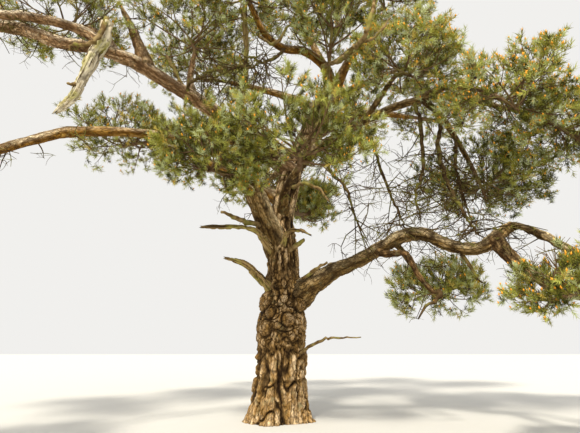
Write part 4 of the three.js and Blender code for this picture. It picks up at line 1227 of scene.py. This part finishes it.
def build_foliage():
    wood, pollen, cones = [], [], []
    needles = {"needles_" + tint: [] for tint in TINTS}
    for index, (name, (_, middle, size, flowering)) in enumerate(MASSES.items()):
        near = name in NEAR
        rng = np.random.default_rng(SEED + 100 + index)
        twigs, shoots, directions = grow_mass(rng, index, name)
        length = SHOOT_LENGTH + SHOOT_SPREAD * rng.random(len(shoots))
        ends = shoots + directions * length[:, None]
        wood += twigs + [spikes(shoots, ends, SHOOT_RADIUS)]
        out = out_from(ends, middle, size)
        dealt = tint_of(rng, name, out)
        for k, parts in enumerate(needles.values()):
            mine = dealt == k
            parts.append(needles_on(rng, shoots[mine], directions[mine], length[mine], near))
        flowers = (out > 0.5) & (rng.random(len(ends)) < flowering * (NEAR_POLLEN_SHARE if near else 1))
        cone_size = NEAR_SIZE if near else POLLEN_SIZE
        pollen.append(pollen_cones_on(rng, ends[flowers], directions[flowers], cone_size))
        old = rng.random(len(ends)) < OLD_CONE_SHARE
        cones.append(old_cones_on(rng, shoots[old], directions[old]))
    half = len(wood) // 2
    wooden = {"twigs_near": wood[:half], "twigs_far": wood[half:]}
    replaced = [name + "_foliage" for name in MASSES]
    for piece, parts in {**needles, **wooden, "pollen_cones": pollen, "old_cones": cones}.items():
        new_mesh(piece, *joined(parts), "twigs" if piece in wooden else piece, "needles", replaced)


# The floor, the light and the camera


def build_floor():
    corners = [(x * FLOOR_HALF, y * FLOOR_HALF, 0) for x, y in ((-1, -1), (1, -1), (1, 1), (-1, 1))]
    mesh = bpy.data.meshes.new("floor")
    mesh.from_pydata(corners, [], [(0, 1, 2, 3)])
    mesh.materials.append(plain_material("floor", *FLOOR))
    placed("floor", mesh)


def add_sun(name, strength, angle, pitch, bearing, colour):
    light = bpy.data.lights.new(name, "SUN")
    light.energy = strength
    light.angle = math.radians(angle)
    light.color = colour
    placed(name, light).rotation_euler = (math.radians(90 - pitch), 0, math.radians(bearing))


def build_light():
    world = bpy.data.worlds.new("world")
    world.use_nodes = True
    sky = world.node_tree.nodes["Background"]
    sky.inputs["Color"].default_value = SKY
    sky.inputs["Strength"].default_value = SKY_STRENGTH
    bpy.context.scene.world = world
    bpy.context.scene.view_settings.view_transform = "Standard"
    for name, values in SUNS.items():
        add_sun(name, *values)


def build_camera():
    data = bpy.data.cameras.new("camera")
    data.sensor_width = SENSOR
    data.lens = SENSOR * PHOTO_FOCAL_PIXELS / PHOTO_WIDTH
    data.clip_end = CAMERA_FAR
    camera = placed("camera", data)
    camera.location = CAMERA_PLACE
    camera.rotation_euler = (math.radians(90 + CAMERA_TILT), 0, 0)
    bpy.context.scene.camera = camera


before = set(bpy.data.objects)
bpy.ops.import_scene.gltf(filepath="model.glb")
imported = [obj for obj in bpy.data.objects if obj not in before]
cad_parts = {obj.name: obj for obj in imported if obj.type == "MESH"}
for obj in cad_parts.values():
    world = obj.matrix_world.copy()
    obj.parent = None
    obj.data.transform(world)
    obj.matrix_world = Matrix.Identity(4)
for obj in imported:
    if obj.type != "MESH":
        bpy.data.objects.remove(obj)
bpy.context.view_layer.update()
MATERIALS = build_materials()
build_trunk()
for number, limb in enumerate(LIMBS):
    build_limb(limb, number)
build_bare_limbs()
build_foliage()
build_floor()
build_light()
build_camera()
